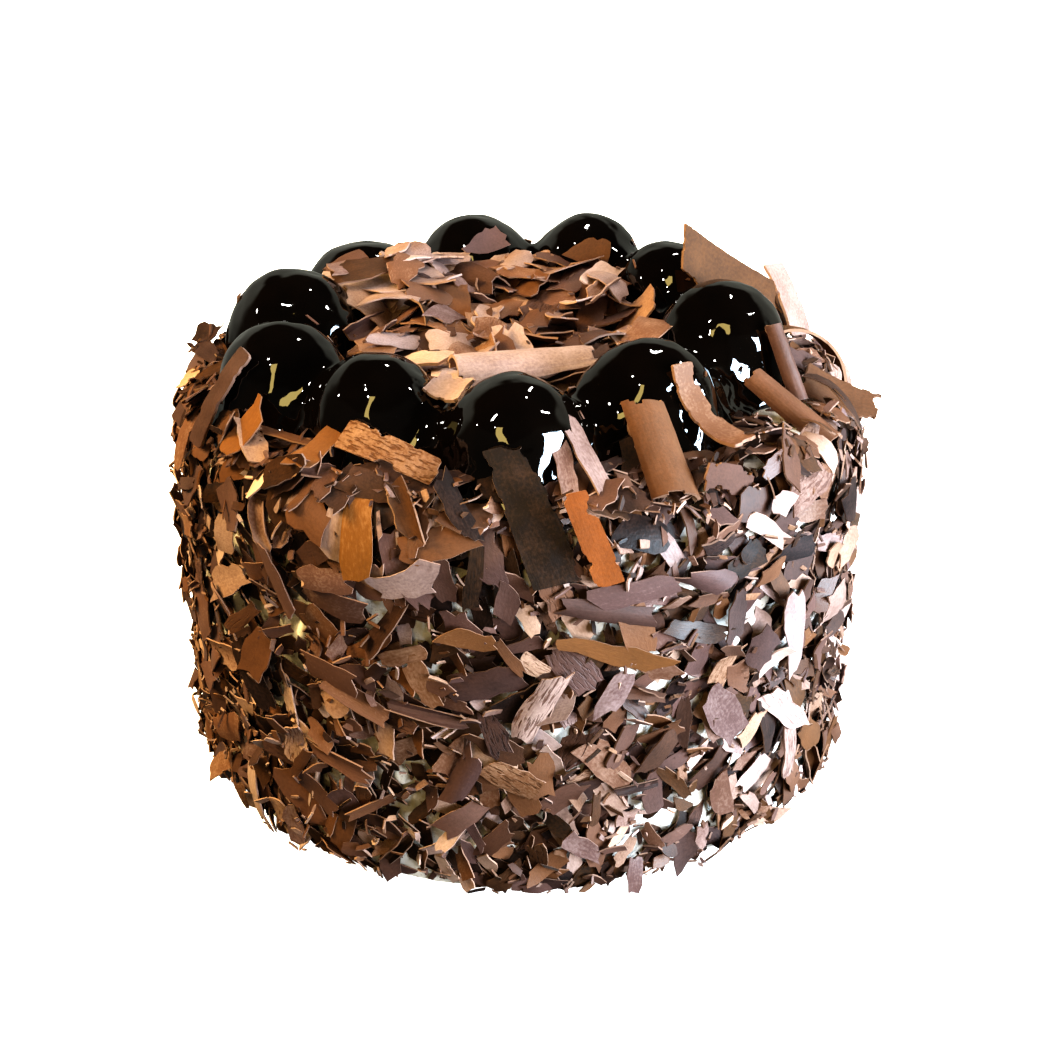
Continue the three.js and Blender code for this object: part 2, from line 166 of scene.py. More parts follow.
# Shavings on the wall picked out by the photo: angle in degrees and height in mm, yaw in degrees, length and
# width in mm, bend in radians, whether it bends crosswise, then its look: tone, cracking, warmth and dullness
CHOSEN_ON_WALL = [
    (-114, 107, -76, 20, 8.5, 0.3, False, 0.5, 0.0, 1.0, 0.7),
    (-101, 106, 18, 20, 6.5, -0.4, True, 0.42, 0.0, 0.5, 0.5),
    (-106, 97, 20, 17, 8, 0.2, True, 0.68, 0.0, 0.0, 0.8),
    (-97, 83, -17, 13, 6, 0.2, False, 0.45, 0.0, 0.7, 0.6),
    (-91, 41, -38, 15, 8, -0.4, True, 0.5, 0.9, 0.6, 0.7),
    (-98, 41, 65, 17, 7, -1.2, True, 0.42, 0.0, 0.0, 0.4),
    (-87, 63, 70, 22, 8, -1.2, True, 0.64, 0.9, 0.2, 0.7),
    (-76, 77, -23, 27, 6, 0.3, False, 0.4, 0.0, 0.8, 0.6),
    (-77, 89, -15, 24, 6, -1.6, True, 0.3, 0.0, 0.1, 0.4),
    (-73, 94, 8, 21, 7, -0.8, True, 0.46, 0.0, 0.0, 0.5),
    (-62, 94, -35, 15, 8, -1.8, True, 0.4, 0.0, 0.0, 0.3),
    (-43, 67, -80, 30, 8, -0.6, True, 0.7, 0.0, 0.0, 0.6),
    (-43, 41, -65, 19, 9, -0.5, True, 0.74, 0.7, 0.1, 0.7),
    (-57, 50, -65, 18, 9, 0.3, True, 0.52, 0.0, 0.0, 0.6),
]

# Where the heap has drifted over a bun, in mm
DRIFT_PLACE = (-39, 36)
DRIFT_RADIUS = 15 * MM

# Where the heap leans against the buns behind it: reach from the cake's axis, and angles in degrees
BANK_REACH = (32 * MM, 51 * MM)
BANK_ANGLES = (38, 148)

# Where flakes lie on the top: reach from the cake's axis, or from the heap's middle
RIM_REACH = (CREAM_RADIUS - SHOULDER - 8 * MM, CREAM_RADIUS + MM)
RIM_CRUMB_REACH = (CREAM_RADIUS - SHOULDER - 2 * MM, CREAM_RADIUS + MM)
HEAP_REACH = (0, HEAP_RADIUS + 3 * MM)
WHOLE_TOP = (0, CREAM_RADIUS)
ALL_ROUND = (0, 360)

# Camera, from the photo
CAMERA_LENS = 60.7
CAMERA_SENSOR = 36.0
CAMERA_DISTANCE = 546 * MM
CAMERA_TARGET = Vector((0, 0, 62.8 * MM))
CAMERA_RISE = math.radians(27.2)
CAMERA_SHIFT = 0.008
CAMERA_BACK = Vector((0, -math.cos(CAMERA_RISE), math.sin(CAMERA_RISE)))
CAMERA_PLACE = CAMERA_TARGET + CAMERA_DISTANCE * CAMERA_BACK

# A scattered flake on the top is left out where it would hide a large shaving this close behind it
SIGHT = 30 * MM

# Lights: azimuth from the camera towards the right and height in degrees, distance and size in metres, power,
# colour, and whether the glaze mirrors it
LIT_HEIGHT = 80 * MM
LIGHTS = {
    "lamp": (-14, 34, 0.95, (0.18, 0.6), 1.6, (1.0, 0.78, 0.3), True),
    "warm_side": (-92, 32, 0.95, (0.4, 0.4), 18.5, (1.0, 0.78, 0.36), False),
    "window": (68, 9, 0.9, (0.5, 0.36), 20, (0.64, 0.83, 1.0), True),
    "fill": (42, 6, 0.95, (0.5, 0.4), 13.4, (0.82, 0.92, 1.0), False),
    "back": (172, 18, 1.0, (0.5, 0.5), 6, (1.0, 0.96, 0.9), False),
    "ceiling": (120, 74, 1.0, (0.5, 0.5), 5.5, (1.0, 0.97, 0.9), False),
}

# Small lights that glint in the glaze: azimuth and height in degrees, and size in metres. GLINT is their
# power for each square metre
DOWNLIGHTS = [(-84, 32, 0.04), (-50, 62, 0.06), (-26, 50, 0.03), (104, 44, 0.05), (160, 58, 0.06)]
DOWNLIGHT_DISTANCE = 0.95
DOWNLIGHT_COLOUR = (1.0, 1.0, 0.96)
GLINT = 250

# The backdrop: white to the camera, dim as light, with a band behind the cake that the glaze mirrors
FLOOR_SIZE = 30
FLOOR_COLOUR = (0.9, 0.9, 0.9, 1)
FLOOR_GLOW = 0.9
WHITE = (1, 1, 1, 1)
BACKDROP_COLOUR = (0.9, 0.92, 0.8, 1)
BACKDROP_LIGHT = 0.02
HORIZON_LIGHT = 0.03
HORIZON_MIRRORED = 0.3
HORIZON_EDGE = (0.4, 0.55)
BEHIND_EDGE = (0.1, 0.5)

# Shapes of flakes: the share that bends crosswise, the most width for a length, how far lengths and widths
# lean to the small, how far a rolled one turns, where a long side's corner lies, how far its ends stand out,
# how an end slants, how far a flake runs askew, how ragged it is, how it twists and how its thickness varies
CROSSWISE = 0.45
MOST_WIDE = 0.66
MOSTLY_SHORT = 1.5
MOSTLY_NARROW = 1.3
ROLLED_TURN = (2.0, 4.5)
SIDE_CORNER = (-0.4, 0.4)
SIDE_ENDS = (0.62, 1.0)
END_SLANT = (-0.7, 0.7)
ASKEW = (-0.3, 0.3)
RAGGED = 0.05
TWIST = 0.12
THICK_VARIES = (0.75, 1.25)

# Colours of flakes: the range of tones, the tones of pale ones, how cracked the cracked ones are, how warm
# the warmest is, how far warmth leans to the cool and how much less of it a pale flake has
MOST_TONES = (0.04, 0.95)
PALE_TONES = (0.6, 0.84)
CRACKED = (0.4, 0.8)
MOST_WARM = 0.84
MOSTLY_COOL = 1.2
PALE_MAUVE = 0.5

# Large shavings: tone, cracking, warmth and dullness, then how ragged the edges are
LARGE_LOOKS = {
    "shaving_bark": ((0.53, 1.0, 0.58, 0.5), 0.9),
    "shaving_dark": ((0.02, 0.0, 0.5, 0.3), 1.0),
    "shaving_orange": ((0.42, 0.0, 1.0, 0.8), 1.0),
    "shaving_brown": ((0.38, 0.0, 0.6, 0.5), 0.8),
    "shaving_folded": ((0.5, 0.0, 0.5, 0.6), 0.7),
    "shaving_quill": ((0.44, 0.0, 0.45, 0.4), 0.6),
    "shaving_spike": ((0.3, 0.0, 0.6, 0.4), 0.9),
    "shaving_stick": ((0.38, 0.0, 0.2, 0.2), 0.4),
    "shaving_plate": ((0.36, 0.0, 0.2, 1.0), 0.9),
    "shaving_ribbon": ((0.34, 0.0, 1.0, 0.8), 0.5),
    "shaving_sail": ((0.64, 0.0, 0.2, 0.8), 0.4),
    "shaving_upright": ((0.25, 0.0, 0.7, 1.0), 0.3),
    "shaving_strip": ((0.32, 0.0, 0.0, 0.3), 0.5),
    "shaving_curl": ((0.7, 0.0, 0.0, 0.7), 0.6),
    "shaving_cup": ((0.72, 0.0, 0.2, 0.8), 0.8),
    "shaving_chip": ((0.8, 0.0, 0.3, 0.8), 0.8),
}
USUAL_LOOK = ((0.42, 0.1, 0.5, 0.5), 0.8)

# Patterns in the finishes: sizes, then depths of the relief
MOTTLE_SIZE = 7 * MM
FINE_SIZE = 0.8 * MM
DRAG_SIZE = 0.6 * MM
CRACK_SIZE = 0.75 * MM
CRUMB_SIZE = 2.4 * MM
GLAZE_SWELL_SIZE = 9 * MM
SMEAR_SIZE = 3 * MM
FLUFF_SIZE = 4 * MM
DUST_SIZE = 1.6 * MM
CHOCOLATE_RELIEF = 0.25 * MM
CRUMB_RELIEF = 1.2 * MM
GLAZE_RELIEF = 0.5 * MM
CREAM_RELIEF = 0.8 * MM

LOOK_NAMES = ("tone", "bark", "warm", "dull")
RANDOM = np.random.default_rng(7)


# Shader nodes

class Value:
    """A socket's value. Python's operators on it add Math nodes."""

    def __init__(self, finish, socket):
        self.finish = finish
        self.socket = socket

    def join(self, operation, first, second):
        return self.finish.node("ShaderNodeMath", {"operation": operation}, {0: first, 1: second})

    def __add__(self, other):
        return self.join("ADD", self, other)

    def __radd__(self, other):
        return self.join("ADD", other, self)

    def __sub__(self, other):
        return self.join("SUBTRACT", self, other)

    def __rsub__(self, other):
        return self.join("SUBTRACT", other, self)

    def __mul__(self, other):
        return self.join("MULTIPLY", self, other)

    def __rmul__(self, other):
        return self.join("MULTIPLY", other, self)


class Nodes:
    """A tree of shader nodes, and the ways to add to it."""

    def __init__(self, tree):
        self.tree = tree

    def node(self, kind, settings=None, inputs=None, output=0):
        made = self.tree.nodes.new(kind)
        for name, value in (settings or {}).items():
            if name == "stops":
                self.set_stops(made.color_ramp.elements, value)
            else:
                setattr(made, name, value)
        for name, value in (inputs or {}).items():
            self.feed(made.inputs[name], value)
        return Value(self, made.outputs[output])

    def set_stops(self, elements, stops):
        first, *inner, last = stops
        elements[0].position, elements[0].color = first
        elements[1].position, elements[1].color = last
        for place, colour in inner:
            elements.new(place).color = colour

    def feed(self, socket, value):
        if isinstance(value, Value):
            self.tree.links.new(value.socket, socket)
        else:
            socket.default_value = value

    def between(self, value, low, high):
        settings = {"interpolation_type": "SMOOTHSTEP"}
        return self.node("ShaderNodeMapRange", settings, {"Value": value, "From Min": low, "From Max": high})

    def mix(self, factor, first, second):
        settings = {"data_type": "RGBA"}
        return self.node("ShaderNodeMix", settings, {0: factor, 6: first, 7: second}, output=2)

    def ramp(self, value, dark, middle, pale):
        stops = [(0.0, dark), (0.5, middle), (1.0, pale)]
        return self.node("ShaderNodeValToRGB", {"stops": stops}, {"Fac": value})


class Finish(Nodes):
    """A material with one Principled shader, and the nodes that feed it."""

    def __init__(self, name, **constants):
        self.material = bpy.data.materials.new(name)
        self.material.use_nodes = True
        super().__init__(self.material.node_tree)
        self.shader = self.tree.nodes["Principled BSDF"]
        self.set(**constants)

    def set(self, **inputs):
        for name, value in inputs.items():
            self.feed(self.shader.inputs[name.replace("_", " ")], value)

    def place(self):
        return self.node("ShaderNodeTexCoord", output="Object")

    def map(self, name):
        return self.node("ShaderNodeUVMap", {"uv_map": name})

    def attribute(self, name):
        return self.node("ShaderNodeAttribute", {"attribute_name": name}, output="Fac")

    def stretched(self, vector, scale):
        return self.node("ShaderNodeMapping", {}, {"Vector": vector, "Scale": scale})

    def noise(self, vector, size, detail=2.0, rough=0.5):
        inputs = {"Vector": vector, "Scale": 1 / size, "Detail": detail, "Roughness": rough}
        return self.node("ShaderNodeTexNoise", {}, inputs)

    def bump(self, height, distance, strength=1.0):
        inputs = {"Height": height, "Distance": distance, "Strength": strength}
        return self.node("ShaderNodeBump", {}, inputs)


def rgb(red, green, blue):
    """A colour of 0 to 255 screen values as the linear colour that a shader takes."""
    def linear(value):
        value /= 255
        return value / 12.92 if value < 0.04045 else ((value + 0.055) / 1.055) ** 2.4
    return (linear(red), linear(green), linear(blue), 1.0)


# Colours, from dark through the middle to pale where there are three
MAUVE = (rgb(32, 22, 20), rgb(96, 71, 66), rgb(202, 175, 168))
DARK_BROWN = rgb(36, 23, 12)
MIDDLE_BROWN = rgb(122, 78, 35)
ORANGE_BROWN = rgb(134, 74, 30)
PALE_BROWN = rgb(208, 163, 115)
# The pale colour of a flake's broken edge is a painted highlight along its edges
EDGE_HIGHLIGHT = rgb(184, 148, 128)
CRUSHED = (rgb(30, 19, 15), rgb(86, 56, 42))
GLAZE_COLOURS = (rgb(5, 3, 2), rgb(14, 8, 5))
CREAM_COLOURS = (rgb(208, 196, 186), rgb(232, 226, 218))
CREAM_STAIN = rgb(120, 80, 58)


# Finishes

def chocolate_finish(name, warmest):
    """Shaved chocolate. Tone runs from dark to pale, bark is how cracked it is, warm runs from mauve to
    the warmest brown, dull is how little it shines, and rim marks a broken edge, which gets a painted
    highlight."""
    finish = Finish(name, Specular_IOR_Level=0.42)
    grain = finish.map("grain")
    bark = finish.attribute("bark")
    mottle = finish.noise(grain, MOTTLE_SIZE, 2.0, 0.5)
    fine = finish.noise(grain, FINE_SIZE, 3.0, 0.6)
    drag = finish.noise(finish.stretched(grain, (0.1, 1.0, 1.0)), DRAG_SIZE, 2.0, 0.5)
    lines = finish.noise(finish.stretched(grain, (0.2, 1.0, 1.0)), CRACK_SIZE, 2.0, 0.6)
    crack = (1 - finish.between(lines, 0.36, 0.5)) * bark
    shade = finish.attribute("tone") + (mottle - 0.5) * 0.24 + (fine - 0.5) * 0.3 + (drag - 0.5) * 0.08
    shade = shade - crack * 0.2 + bark * 0.06
    mauve = finish.ramp(shade, *MAUVE)
    brown = finish.ramp(shade, DARK_BROWN, warmest, PALE_BROWN)
    chocolate = finish.mix(finish.attribute("warm"), mauve, brown)
    # Broken edges are mixed towards a pale colour: a painted highlight along each edge
    finish.set(Base_Color=finish.mix(finish.attribute("rim") * 0.35, chocolate, EDGE_HIGHLIGHT))
    finish.set(Roughness=0.38 + fine * 0.1 + bark * 0.2 + finish.attribute("dull") * 0.4)
    finish.set(Normal=finish.bump(fine * 0.35 + drag * 0.2 - crack, CHOCOLATE_RELIEF, 0.9))
    return finish.material


def crumb_finish():
    """Crushed chocolate deep in the heap."""
    finish = Finish("crushed_chocolate", Specular_IOR_Level=0.4)
    place = finish.place()
    crumbs = finish.noise(place, CRUMB_SIZE, 4.0, 0.6)
    finish.set(Base_Color=finish.mix(finish.between(crumbs, 0.35, 0.65), *CRUSHED))
    finish.set(Roughness=0.5 + crumbs * 0.2)
    finish.set(Normal=finish.bump(crumbs, CRUMB_RELIEF, 0.8))
    return finish.material


def glaze_finish():
    """Dark chocolate glaze, nearly a mirror, with faint swells and smears."""
    finish = Finish("dark_glaze", Specular_IOR_Level=1.0)
    place = finish.place()
    swell = finish.noise(place, GLAZE_SWELL_SIZE, 2.0, 0.5)
    smear = finish.noise(place, SMEAR_SIZE, 3.0, 0.6)
    finish.set(Base_Color=finish.mix(swell, *GLAZE_COLOURS))
    finish.set(Roughness=0.03 + finish.between(smear, 0.5, 0.8) * 0.06)
    finish.set(Normal=finish.bump(swell, GLAZE_RELIEF, 0.4))
    return finish.material


def cream_finish():
    """Whipped cream, stained in spots by the chocolate."""
    finish = Finish("whipped_cream", Specular_IOR_Level=0.35)
    place = finish.place()
    fluff = finish.noise(place, FLUFF_SIZE, 4.0, 0.6)
    dust = finish.noise(place, DUST_SIZE, 3.0, 0.7)
    stain = finish.between(dust, 0.56, 0.72)
    clean = finish.mix(fluff, *CREAM_COLOURS)
    finish.set(Base_Color=finish.mix(stain * 0.7, clean, CREAM_STAIN))
    finish.set(Roughness=0.55 + fluff * 0.2)
    finish.set(Normal=finish.bump(fluff, CREAM_RELIEF, 0.6))
    return finish.material


# Modelling helpers

def deselect_all():
    bpy.ops.object.select_all(action="DESELECT")


def active(name):
    """The object that an operator has just made, renamed, with its place in its mesh."""
    made = bpy.context.object
    made.name = name
    made.data.name = name
    bpy.ops.object.transform_apply(location=True, rotation=True, scale=True)
    return made


def add_object(name, data):
    """A new object in the scene that holds a mesh, a light or a camera."""
    made = bpy.data.objects.new(name, data)
    bpy.context.scene.collection.objects.link(made)
    return made


def pick(thing):
    deselect_all()
    thing.select_set(True)
    bpy.context.view_layer.objects.active = thing


def edit(thing):
    pick(thing)
    bpy.ops.object.mode_set(mode="EDIT")


def leave_edit():
    bpy.ops.object.mode_set(mode="OBJECT")


def shade_smooth(thing, crease):
    """Smooth shading, apart from edges sharper than the crease."""
    pick(thing)
    bpy.ops.object.shade_smooth_by_angle(angle=crease)


def add_values(mesh, name, domain, values):
    """Numbers that a finish reads, one for each corner or each face."""
    mesh.attributes.new(name, "FLOAT", domain).data.foreach_set("value", values)


def apply_modifier(thing, kind, **settings):
    pick(thing)
    made = thing.modifiers.new(kind.lower(), kind)
    for name, value in settings.items():
        setattr(made, name, value)
    bpy.ops.object.modifier_apply(modifier=made.name)


def rough_up(thing, size, strength, group=""):
    """Swells and dents a surface, or the part of it in a vertex group, by a cloudy pattern."""
    clouds = bpy.data.textures.new("swelling", "CLOUDS")
    clouds.noise_scale = size
    settings = {"texture": clouds, "texture_coords": "LOCAL", "vertex_group": group}
    apply_modifier(thing, "DISPLACE", strength=strength, mid_level=0.5, **settings)


def group_by_height(thing, name, full, none):
    """A vertex group that is full at one height and fades out at another."""
    group = thing.vertex_groups.new(name=name)
    for corner in thing.data.vertices:
        weight = (none - corner.co.z) / (none - full)
        group.add([corner.index], min(max(weight, 0), 1), "REPLACE")


def cut_level(thing, height):
    """Cuts a piece flat and keeps what is above that height."""
    edit(thing)
    bpy.ops.mesh.select_all(action="SELECT")
    bpy.ops.mesh.bisect(plane_co=(0, 0, height), plane_no=(0, 0, 1), clear_inner=True, use_fill=True)
    leave_edit()


def bevel_ring(thing, height, size, steps):
    """Rounds the edges that lie all round the piece at one height."""
    edit(thing)
    bpy.ops.mesh.select_mode(type="EDGE")
    bpy.ops.mesh.select_all(action="DESELECT")
    shape = bmesh.from_edit_mesh(thing.data)
    for edge in shape.edges:
        if all(abs(corner.co.z - height) < MM / 10 for corner in edge.verts):
            edge.select_set(True)
    bmesh.update_edit_mesh(thing.data)
    bpy.ops.mesh.bevel(offset=size, segments=steps, profile=0.5, affect="EDGES")
    leave_edit()


def finished(piece, material, slot, *nodes):
    """Gives a piece its finish and its place in the frame."""
    piece.data.materials.clear()
    piece.data.materials.append(material)
    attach(piece, "root")
    if nodes:
        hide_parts(*nodes)
    return piece


# Cream and heap

def cream_body():
    """The drum of cream, made a little too deep and then cut level at its foot."""
    deselect_all()
    bpy.ops.mesh.primitive_cylinder_add(
        vertices=128,
        radius=CREAM_RADIUS,
        depth=CREAM_TOP + CREAM_SPARE,
        location=(0, 0, (CREAM_TOP - CREAM_SPARE) / 2),
    )
    cream = active("cream")
    bevel_ring(cream, CREAM_TOP, SHOULDER, 8)
    apply_modifier(cream, "REMESH", mode="VOXEL", voxel_size=CREAM_VOXEL)
    for size, strength in CREAM_SWELLS:
        rough_up(cream, size, strength)
    apply_modifier(cream, "SMOOTH", factor=0.5, iterations=2)
    cut_level(cream, 0)
    shade_smooth(cream, CREAM_CREASE)
    return cream


def cream_dabs():
    """Where cream squeezes out between the flakes: angle, height, size, stretch and tilt of each smear.
    Most are on the front right."""
    dabs = []
    while len(dabs) < DABS:
        angle = RANDOM.uniform(0, 2 * math.pi)
        height = RANDOM.uniform(*DAB_HEIGHTS) * CREAM_TOP
        facing = 0.5 + 0.5 * math.cos(angle - DAB_SIDE)
        smear = RANDOM.uniform(*DAB_SIZE), RANDOM.uniform(*DAB_STRETCH), RANDOM.uniform(0, math.pi)
        if RANDOM.uniform() < DAB_LEAST + (1 - DAB_LEAST) * facing ** 2:
            dabs.append((angle, height, *smear))
    return dabs


def cream_rise(dabs, angles, heights):
    """How far the dabs stand out at places on the wall."""
    out = np.zeros(angles.shape)
    for angle, height, size, stretch, tilt in dabs:
        along = np.angle(np.exp(1j * (angles - angle))) * CREAM_RADIUS
        up = heights - height
        first = (along * math.cos(tilt) + up * math.sin(tilt)) / (stretch * size)
        second = (up * math.cos(tilt) - along * math.sin(tilt)) / size
        away = first ** 2 + second ** 2
        out = np.maximum(out, DAB_RISE * size * np.exp(-away * away))
    return out


def squeeze_out(cream, dabs):
    """Pushes the cream's wall out at each dab."""
    count = len(cream.data.vertices)
    points = np.zeros(3 * count)
    cream.data.vertices.foreach_get("co", points)
    points = points.reshape(-1, 3)
    radii = np.hypot(points[:, 0], points[:, 1])
    out = cream_rise(dabs, np.arctan2(points[:, 1], points[:, 0]), points[:, 2])
    out[radii < CREAM_RADIUS - SHOULDER] = 0
    points[:, :2] *= (1 + out / np.maximum(radii, MM))[:, None]
    cream.data.vertices.foreach_set("co", points.ravel())
    cream.data.update()


def heap_core():
    """The crushed middle of the heap, under its flakes."""
    deselect_all()
    half = CORE_WIDTH * HEAP_RADIUS
    rise = CORE_RISE * (HEAP_HIGH.z - CREAM_TOP)
    bpy.ops.mesh.primitive_uv_sphere_add(
        segments=48,
        ring_count=24,
        radius=1,
        location=(HEAP_MIDDLE.x, HEAP_MIDDLE.y, CREAM_TOP),
        scale=(half, half, rise),
    )
    core = active("heap_core")
    rough_up(core, *CORE_SWELL)
    cut_level(core, CREAM_TOP - MM)
    shade_smooth(core, CREAM_CREASE)
    return core


# Glaze

def add_lump(middle, size, turn=0):
    """One rounded lump of glaze."""
    deselect_all()
    bpy.ops.mesh.primitive_uv_sphere_add(
        segments=32,
        ring_count=20,
        radius=1,
        location=middle,
        rotation=(0, 0, turn),
        scale=size,
    )
    return active("lump")


def add_film(middle, radius):
    """A flat round of glaze that lies on the cream."""
    deselect_all()
    bpy.ops.mesh.primitive_cylinder_add(vertices=48, radius=radius, depth=2 * SKIRT_HEIGHT, location=middle)
    return active("film")


def glazed_bun(x, y, half, rise):
    """The lumps of one bun: its dome, the hem at its foot, the swells on its sides and the film round it."""
    waist = CREAM_TOP + WAIST
    lumps = [
        add_lump((x, y, waist), (half, half, rise)),
        add_lump((x, y, CREAM_TOP), (half + HEM, half + HEM, HEM_HEIGHT)),
    ]
    turn = RANDOM.uniform(0, 2 * math.pi)
    reach = LUMP_REACH * half
    for number in range(LUMPS):
        heading = turn + 2 * math.pi * number / LUMPS + RANDOM.uniform(*LUMP_TURN)
        size = LUMP_SIZE * half * RANDOM.uniform(*LUMP_VARIES)
        height = waist + RANDOM.uniform(*LUMP_RISE) * rise
        place = (x + reach * math.cos(heading), y + reach * math.sin(heading), height)
        lumps.append(add_lump(place, (size, size, size)))
    lumps.append(add_film((x, y, CREAM_TOP), half + SKIRT))
    return lumps


def glaze_lumps():
    """The glazed buns, and the saddles and pools of glaze between neighbours, still apart."""
    lumps = []
    middles = []
    for name in BUNS:
        low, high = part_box(name)
        middle = (low + high) / 2
        half = (high.x - low.x + high.y - low.y) / 4 + FILM
        lumps += glazed_bun(middle.x, middle.y, half, high.z - CREAM_TOP - WAIST + FILM)
        middles.append(middle)
    for first, second in zip(middles, middles[1:] + middles[:1]):
        across = second - first
        between = ((first.x + second.x) / 2, (first.y + second.y) / 2, CREAM_TOP)
        saddle = (SADDLE_LENGTH * across.xy.length, SADDLE_WIDTH, SADDLE_HEIGHT)
        lumps.append(add_lump(between, saddle, math.atan2(across.y, across.x)))
        lumps.append(add_film(between, POOL))
    return lumps


def poured_glaze():
    """All of the lumps run together as one skin."""
    lumps = glaze_lumps()
    deselect_all()
    for lump in lumps:
        lump.select_set(True)
    bpy.context.view_layer.objects.active = lumps[0]
    bpy.ops.object.join()
    glaze = active("glaze_coat")
    apply_modifier(glaze, "REMESH", mode="VOXEL", voxel_size=GLAZE_VOXEL)
    apply_modifier(glaze, "SMOOTH", factor=0.5, iterations=GLAZE_SMOOTHING)
    for size, strength in GLAZE_SWELLS:
        rough_up(glaze, size, strength)
    group_by_height(glaze, "foot", CREAM_TOP, CREAM_TOP + RIPPLE_HEIGHT)
    rough_up(glaze, *RIPPLE, "foot")
    apply_modifier(glaze, "SMOOTH", factor=0.5, iterations=4)
    cut_level(glaze, CREAM_TOP - GLAZE_DEPTH)
    shade_smooth(glaze, GLAZE_CREASE)
    return glaze


# Large shavings

def broad_side(piece):
    """Keeps one broad side of a shaving's slab, as a strip of four-sided faces."""
    edit(piece)
    bpy.ops.mesh.select_mode(type="FACE")
    bpy.ops.mesh.select_all(action="SELECT")
    bpy.ops.mesh.remove_doubles(threshold=MM / 100)
    bpy.ops.mesh.tris_convert_to_quads()
    bpy.ops.mesh.select_all(action="DESELECT")
    shape = bmesh.from_edit_mesh(piece.data)
    largest = max(shape.faces, key=lambda face: face.calc_area())
    largest.select_set(True)
    shape.faces.active = largest
    bmesh.update_edit_mesh(piece.data)
    bpy.ops.mesh.faces_select_linked_flat(sharpness=SHARP)
    bpy.ops.mesh.select_all(action="INVERT")
    bpy.ops.mesh.delete(type="FACE")
    bpy.ops.mesh.select_all(action="SELECT")
    shape = bmesh.from_edit_mesh(piece.data)
    longest = max(edge.calc_length() for edge in shape.edges)
    cuts = int(np.clip(longest / SHAVING_STEP, *SHAVING_CUTS))
    bpy.ops.mesh.subdivide(number_cuts=cuts, smoothness=1.0)
    shape = bmesh.from_edit_mesh(piece.data)
    area = sum(face.calc_area() for face in shape.faces)
    bpy.ops.mesh.vertices_smooth(factor=0.5, repeat=SHAVING_SMOOTHING)
    shape = bmesh.from_edit_mesh(piece.data)
    middle = sum((corner.co for corner in shape.verts), Vector()) / len(shape.verts)
    back = math.sqrt(area / sum(face.calc_area() for face in shape.faces))
    bpy.ops.transform.resize(value=(back, back, back), center_override=middle)
    leave_edit()


def nibble(piece, seed, raggedness):
    """Breaks bits off the edge, as shaved chocolate crumbles."""
    edit(piece)
    shape = bmesh.from_edit_mesh(piece.data)
    edge = [corner for corner in shape.verts if corner.is_boundary]
    tree = kdtree.KDTree(len(edge))
    for number, corner in enumerate(edge):
        tree.insert(corner.co, number)
    tree.balance()
    shift = Vector((seed, 2 * seed, 3 * seed))
    bpy.ops.mesh.select_mode(type="FACE")
    bpy.ops.mesh.select_all(action="DESELECT")
    for face in shape.faces:
        nearest, number, depth = tree.find(face.calc_center_median())
        ragged = noise.noise(nearest / NIBBLE_GRAIN + shift)
        ragged += 0.3 * noise.noise(3 * nearest / NIBBLE_GRAIN + shift)
        if depth < raggedness * NIBBLE * ragged:
            face.select_set(True)
    bmesh.update_edit_mesh(piece.data)
    bpy.ops.mesh.delete(type="FACE")
    shape = bmesh.from_edit_mesh(piece.data)
    for corner in shape.verts:
        wave = noise.noise(corner.co / CRUMPLE_WIDE + shift)
        wave += 0.5 * noise.noise(corner.co / CRUMPLE_FINE + shift)
        corner.co += corner.normal * wave * CRUMPLE
    bpy.ops.mesh.select_mode(type="VERT")
    bpy.ops.mesh.select_all(action="DESELECT")
    for corner in shape.verts:
        corner.select_set(corner.is_boundary)
    bmesh.update_edit_mesh(piece.data)
    bpy.ops.mesh.vertices_smooth(factor=0.5, repeat=3)
    leave_edit()


def grain_map(piece):
    """A map in metres whose first axis runs along the shaving."""
    edit(piece)
    bpy.ops.mesh.select_all(action="SELECT")
    bpy.ops.uv.unwrap(method="ANGLE_BASED", margin=0)
    leave_edit()
    layer = piece.data.uv_layers.active
    layer.name = "grain"
    flat = np.zeros(2 * len(layer.data))
    layer.data.foreach_get("uv", flat)
    flat = flat.reshape(-1, 2)
    flat -= flat.mean(axis=0)
    spread = np.linalg.eigh(np.cov(flat.T))[1]
    flat = flat @ spread[:, ::-1]
    area = sum(face.area for face in piece.data.polygons)
    size = flat.max(axis=0) - flat.min(axis=0)
    flat *= math.sqrt(area / (size[0] * size[1]))
    layer.data.foreach_set("uv", flat.ravel())


def mark(piece, look):
    """The look of a shaving and a mark on its broken edges."""
    mesh = piece.data
    for name, value in zip(LOOK_NAMES, look):
        add_values(mesh, name, "POINT", np.full(len(mesh.vertices), value))
    slots = np.zeros(len(mesh.polygons), dtype=np.int32)
    mesh.polygons.foreach_get("material_index", slots)
    add_values(mesh, "rim", "FACE", np.where(slots == 1, 1.0, 0.0))
    mesh.polygons.foreach_set("material_index", np.zeros_like(slots))


def large_shaving(node, seed, look, raggedness):
    """A shaving in place of its slab: one broad side with ragged edges, made thin."""
    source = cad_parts[node]
    piece = add_object(node.replace("shaving_", "large_"), source.data.copy())
    broad_side(piece)
    grain_map(piece)
    nibble(piece, seed, raggedness)
    piece.data.materials.clear()
    for slot in range(2):
        piece.data.materials.append(None)
    apply_modifier(piece, "SOLIDIFY", thickness=SHAVING_THICK, offset=-1, material_offset_rim=1)
    mark(piece, look)
    shade_smooth(piece, FLAKE_CREASE)
    return piece


# Flakes

def bent(distance, curve):
    """A flat distance wound on to a curve: how far it then reaches, and how far it leaves the flat."""
    return np.sin(curve * distance) / curve, (1 - np.cos(curve * distance)) / curve


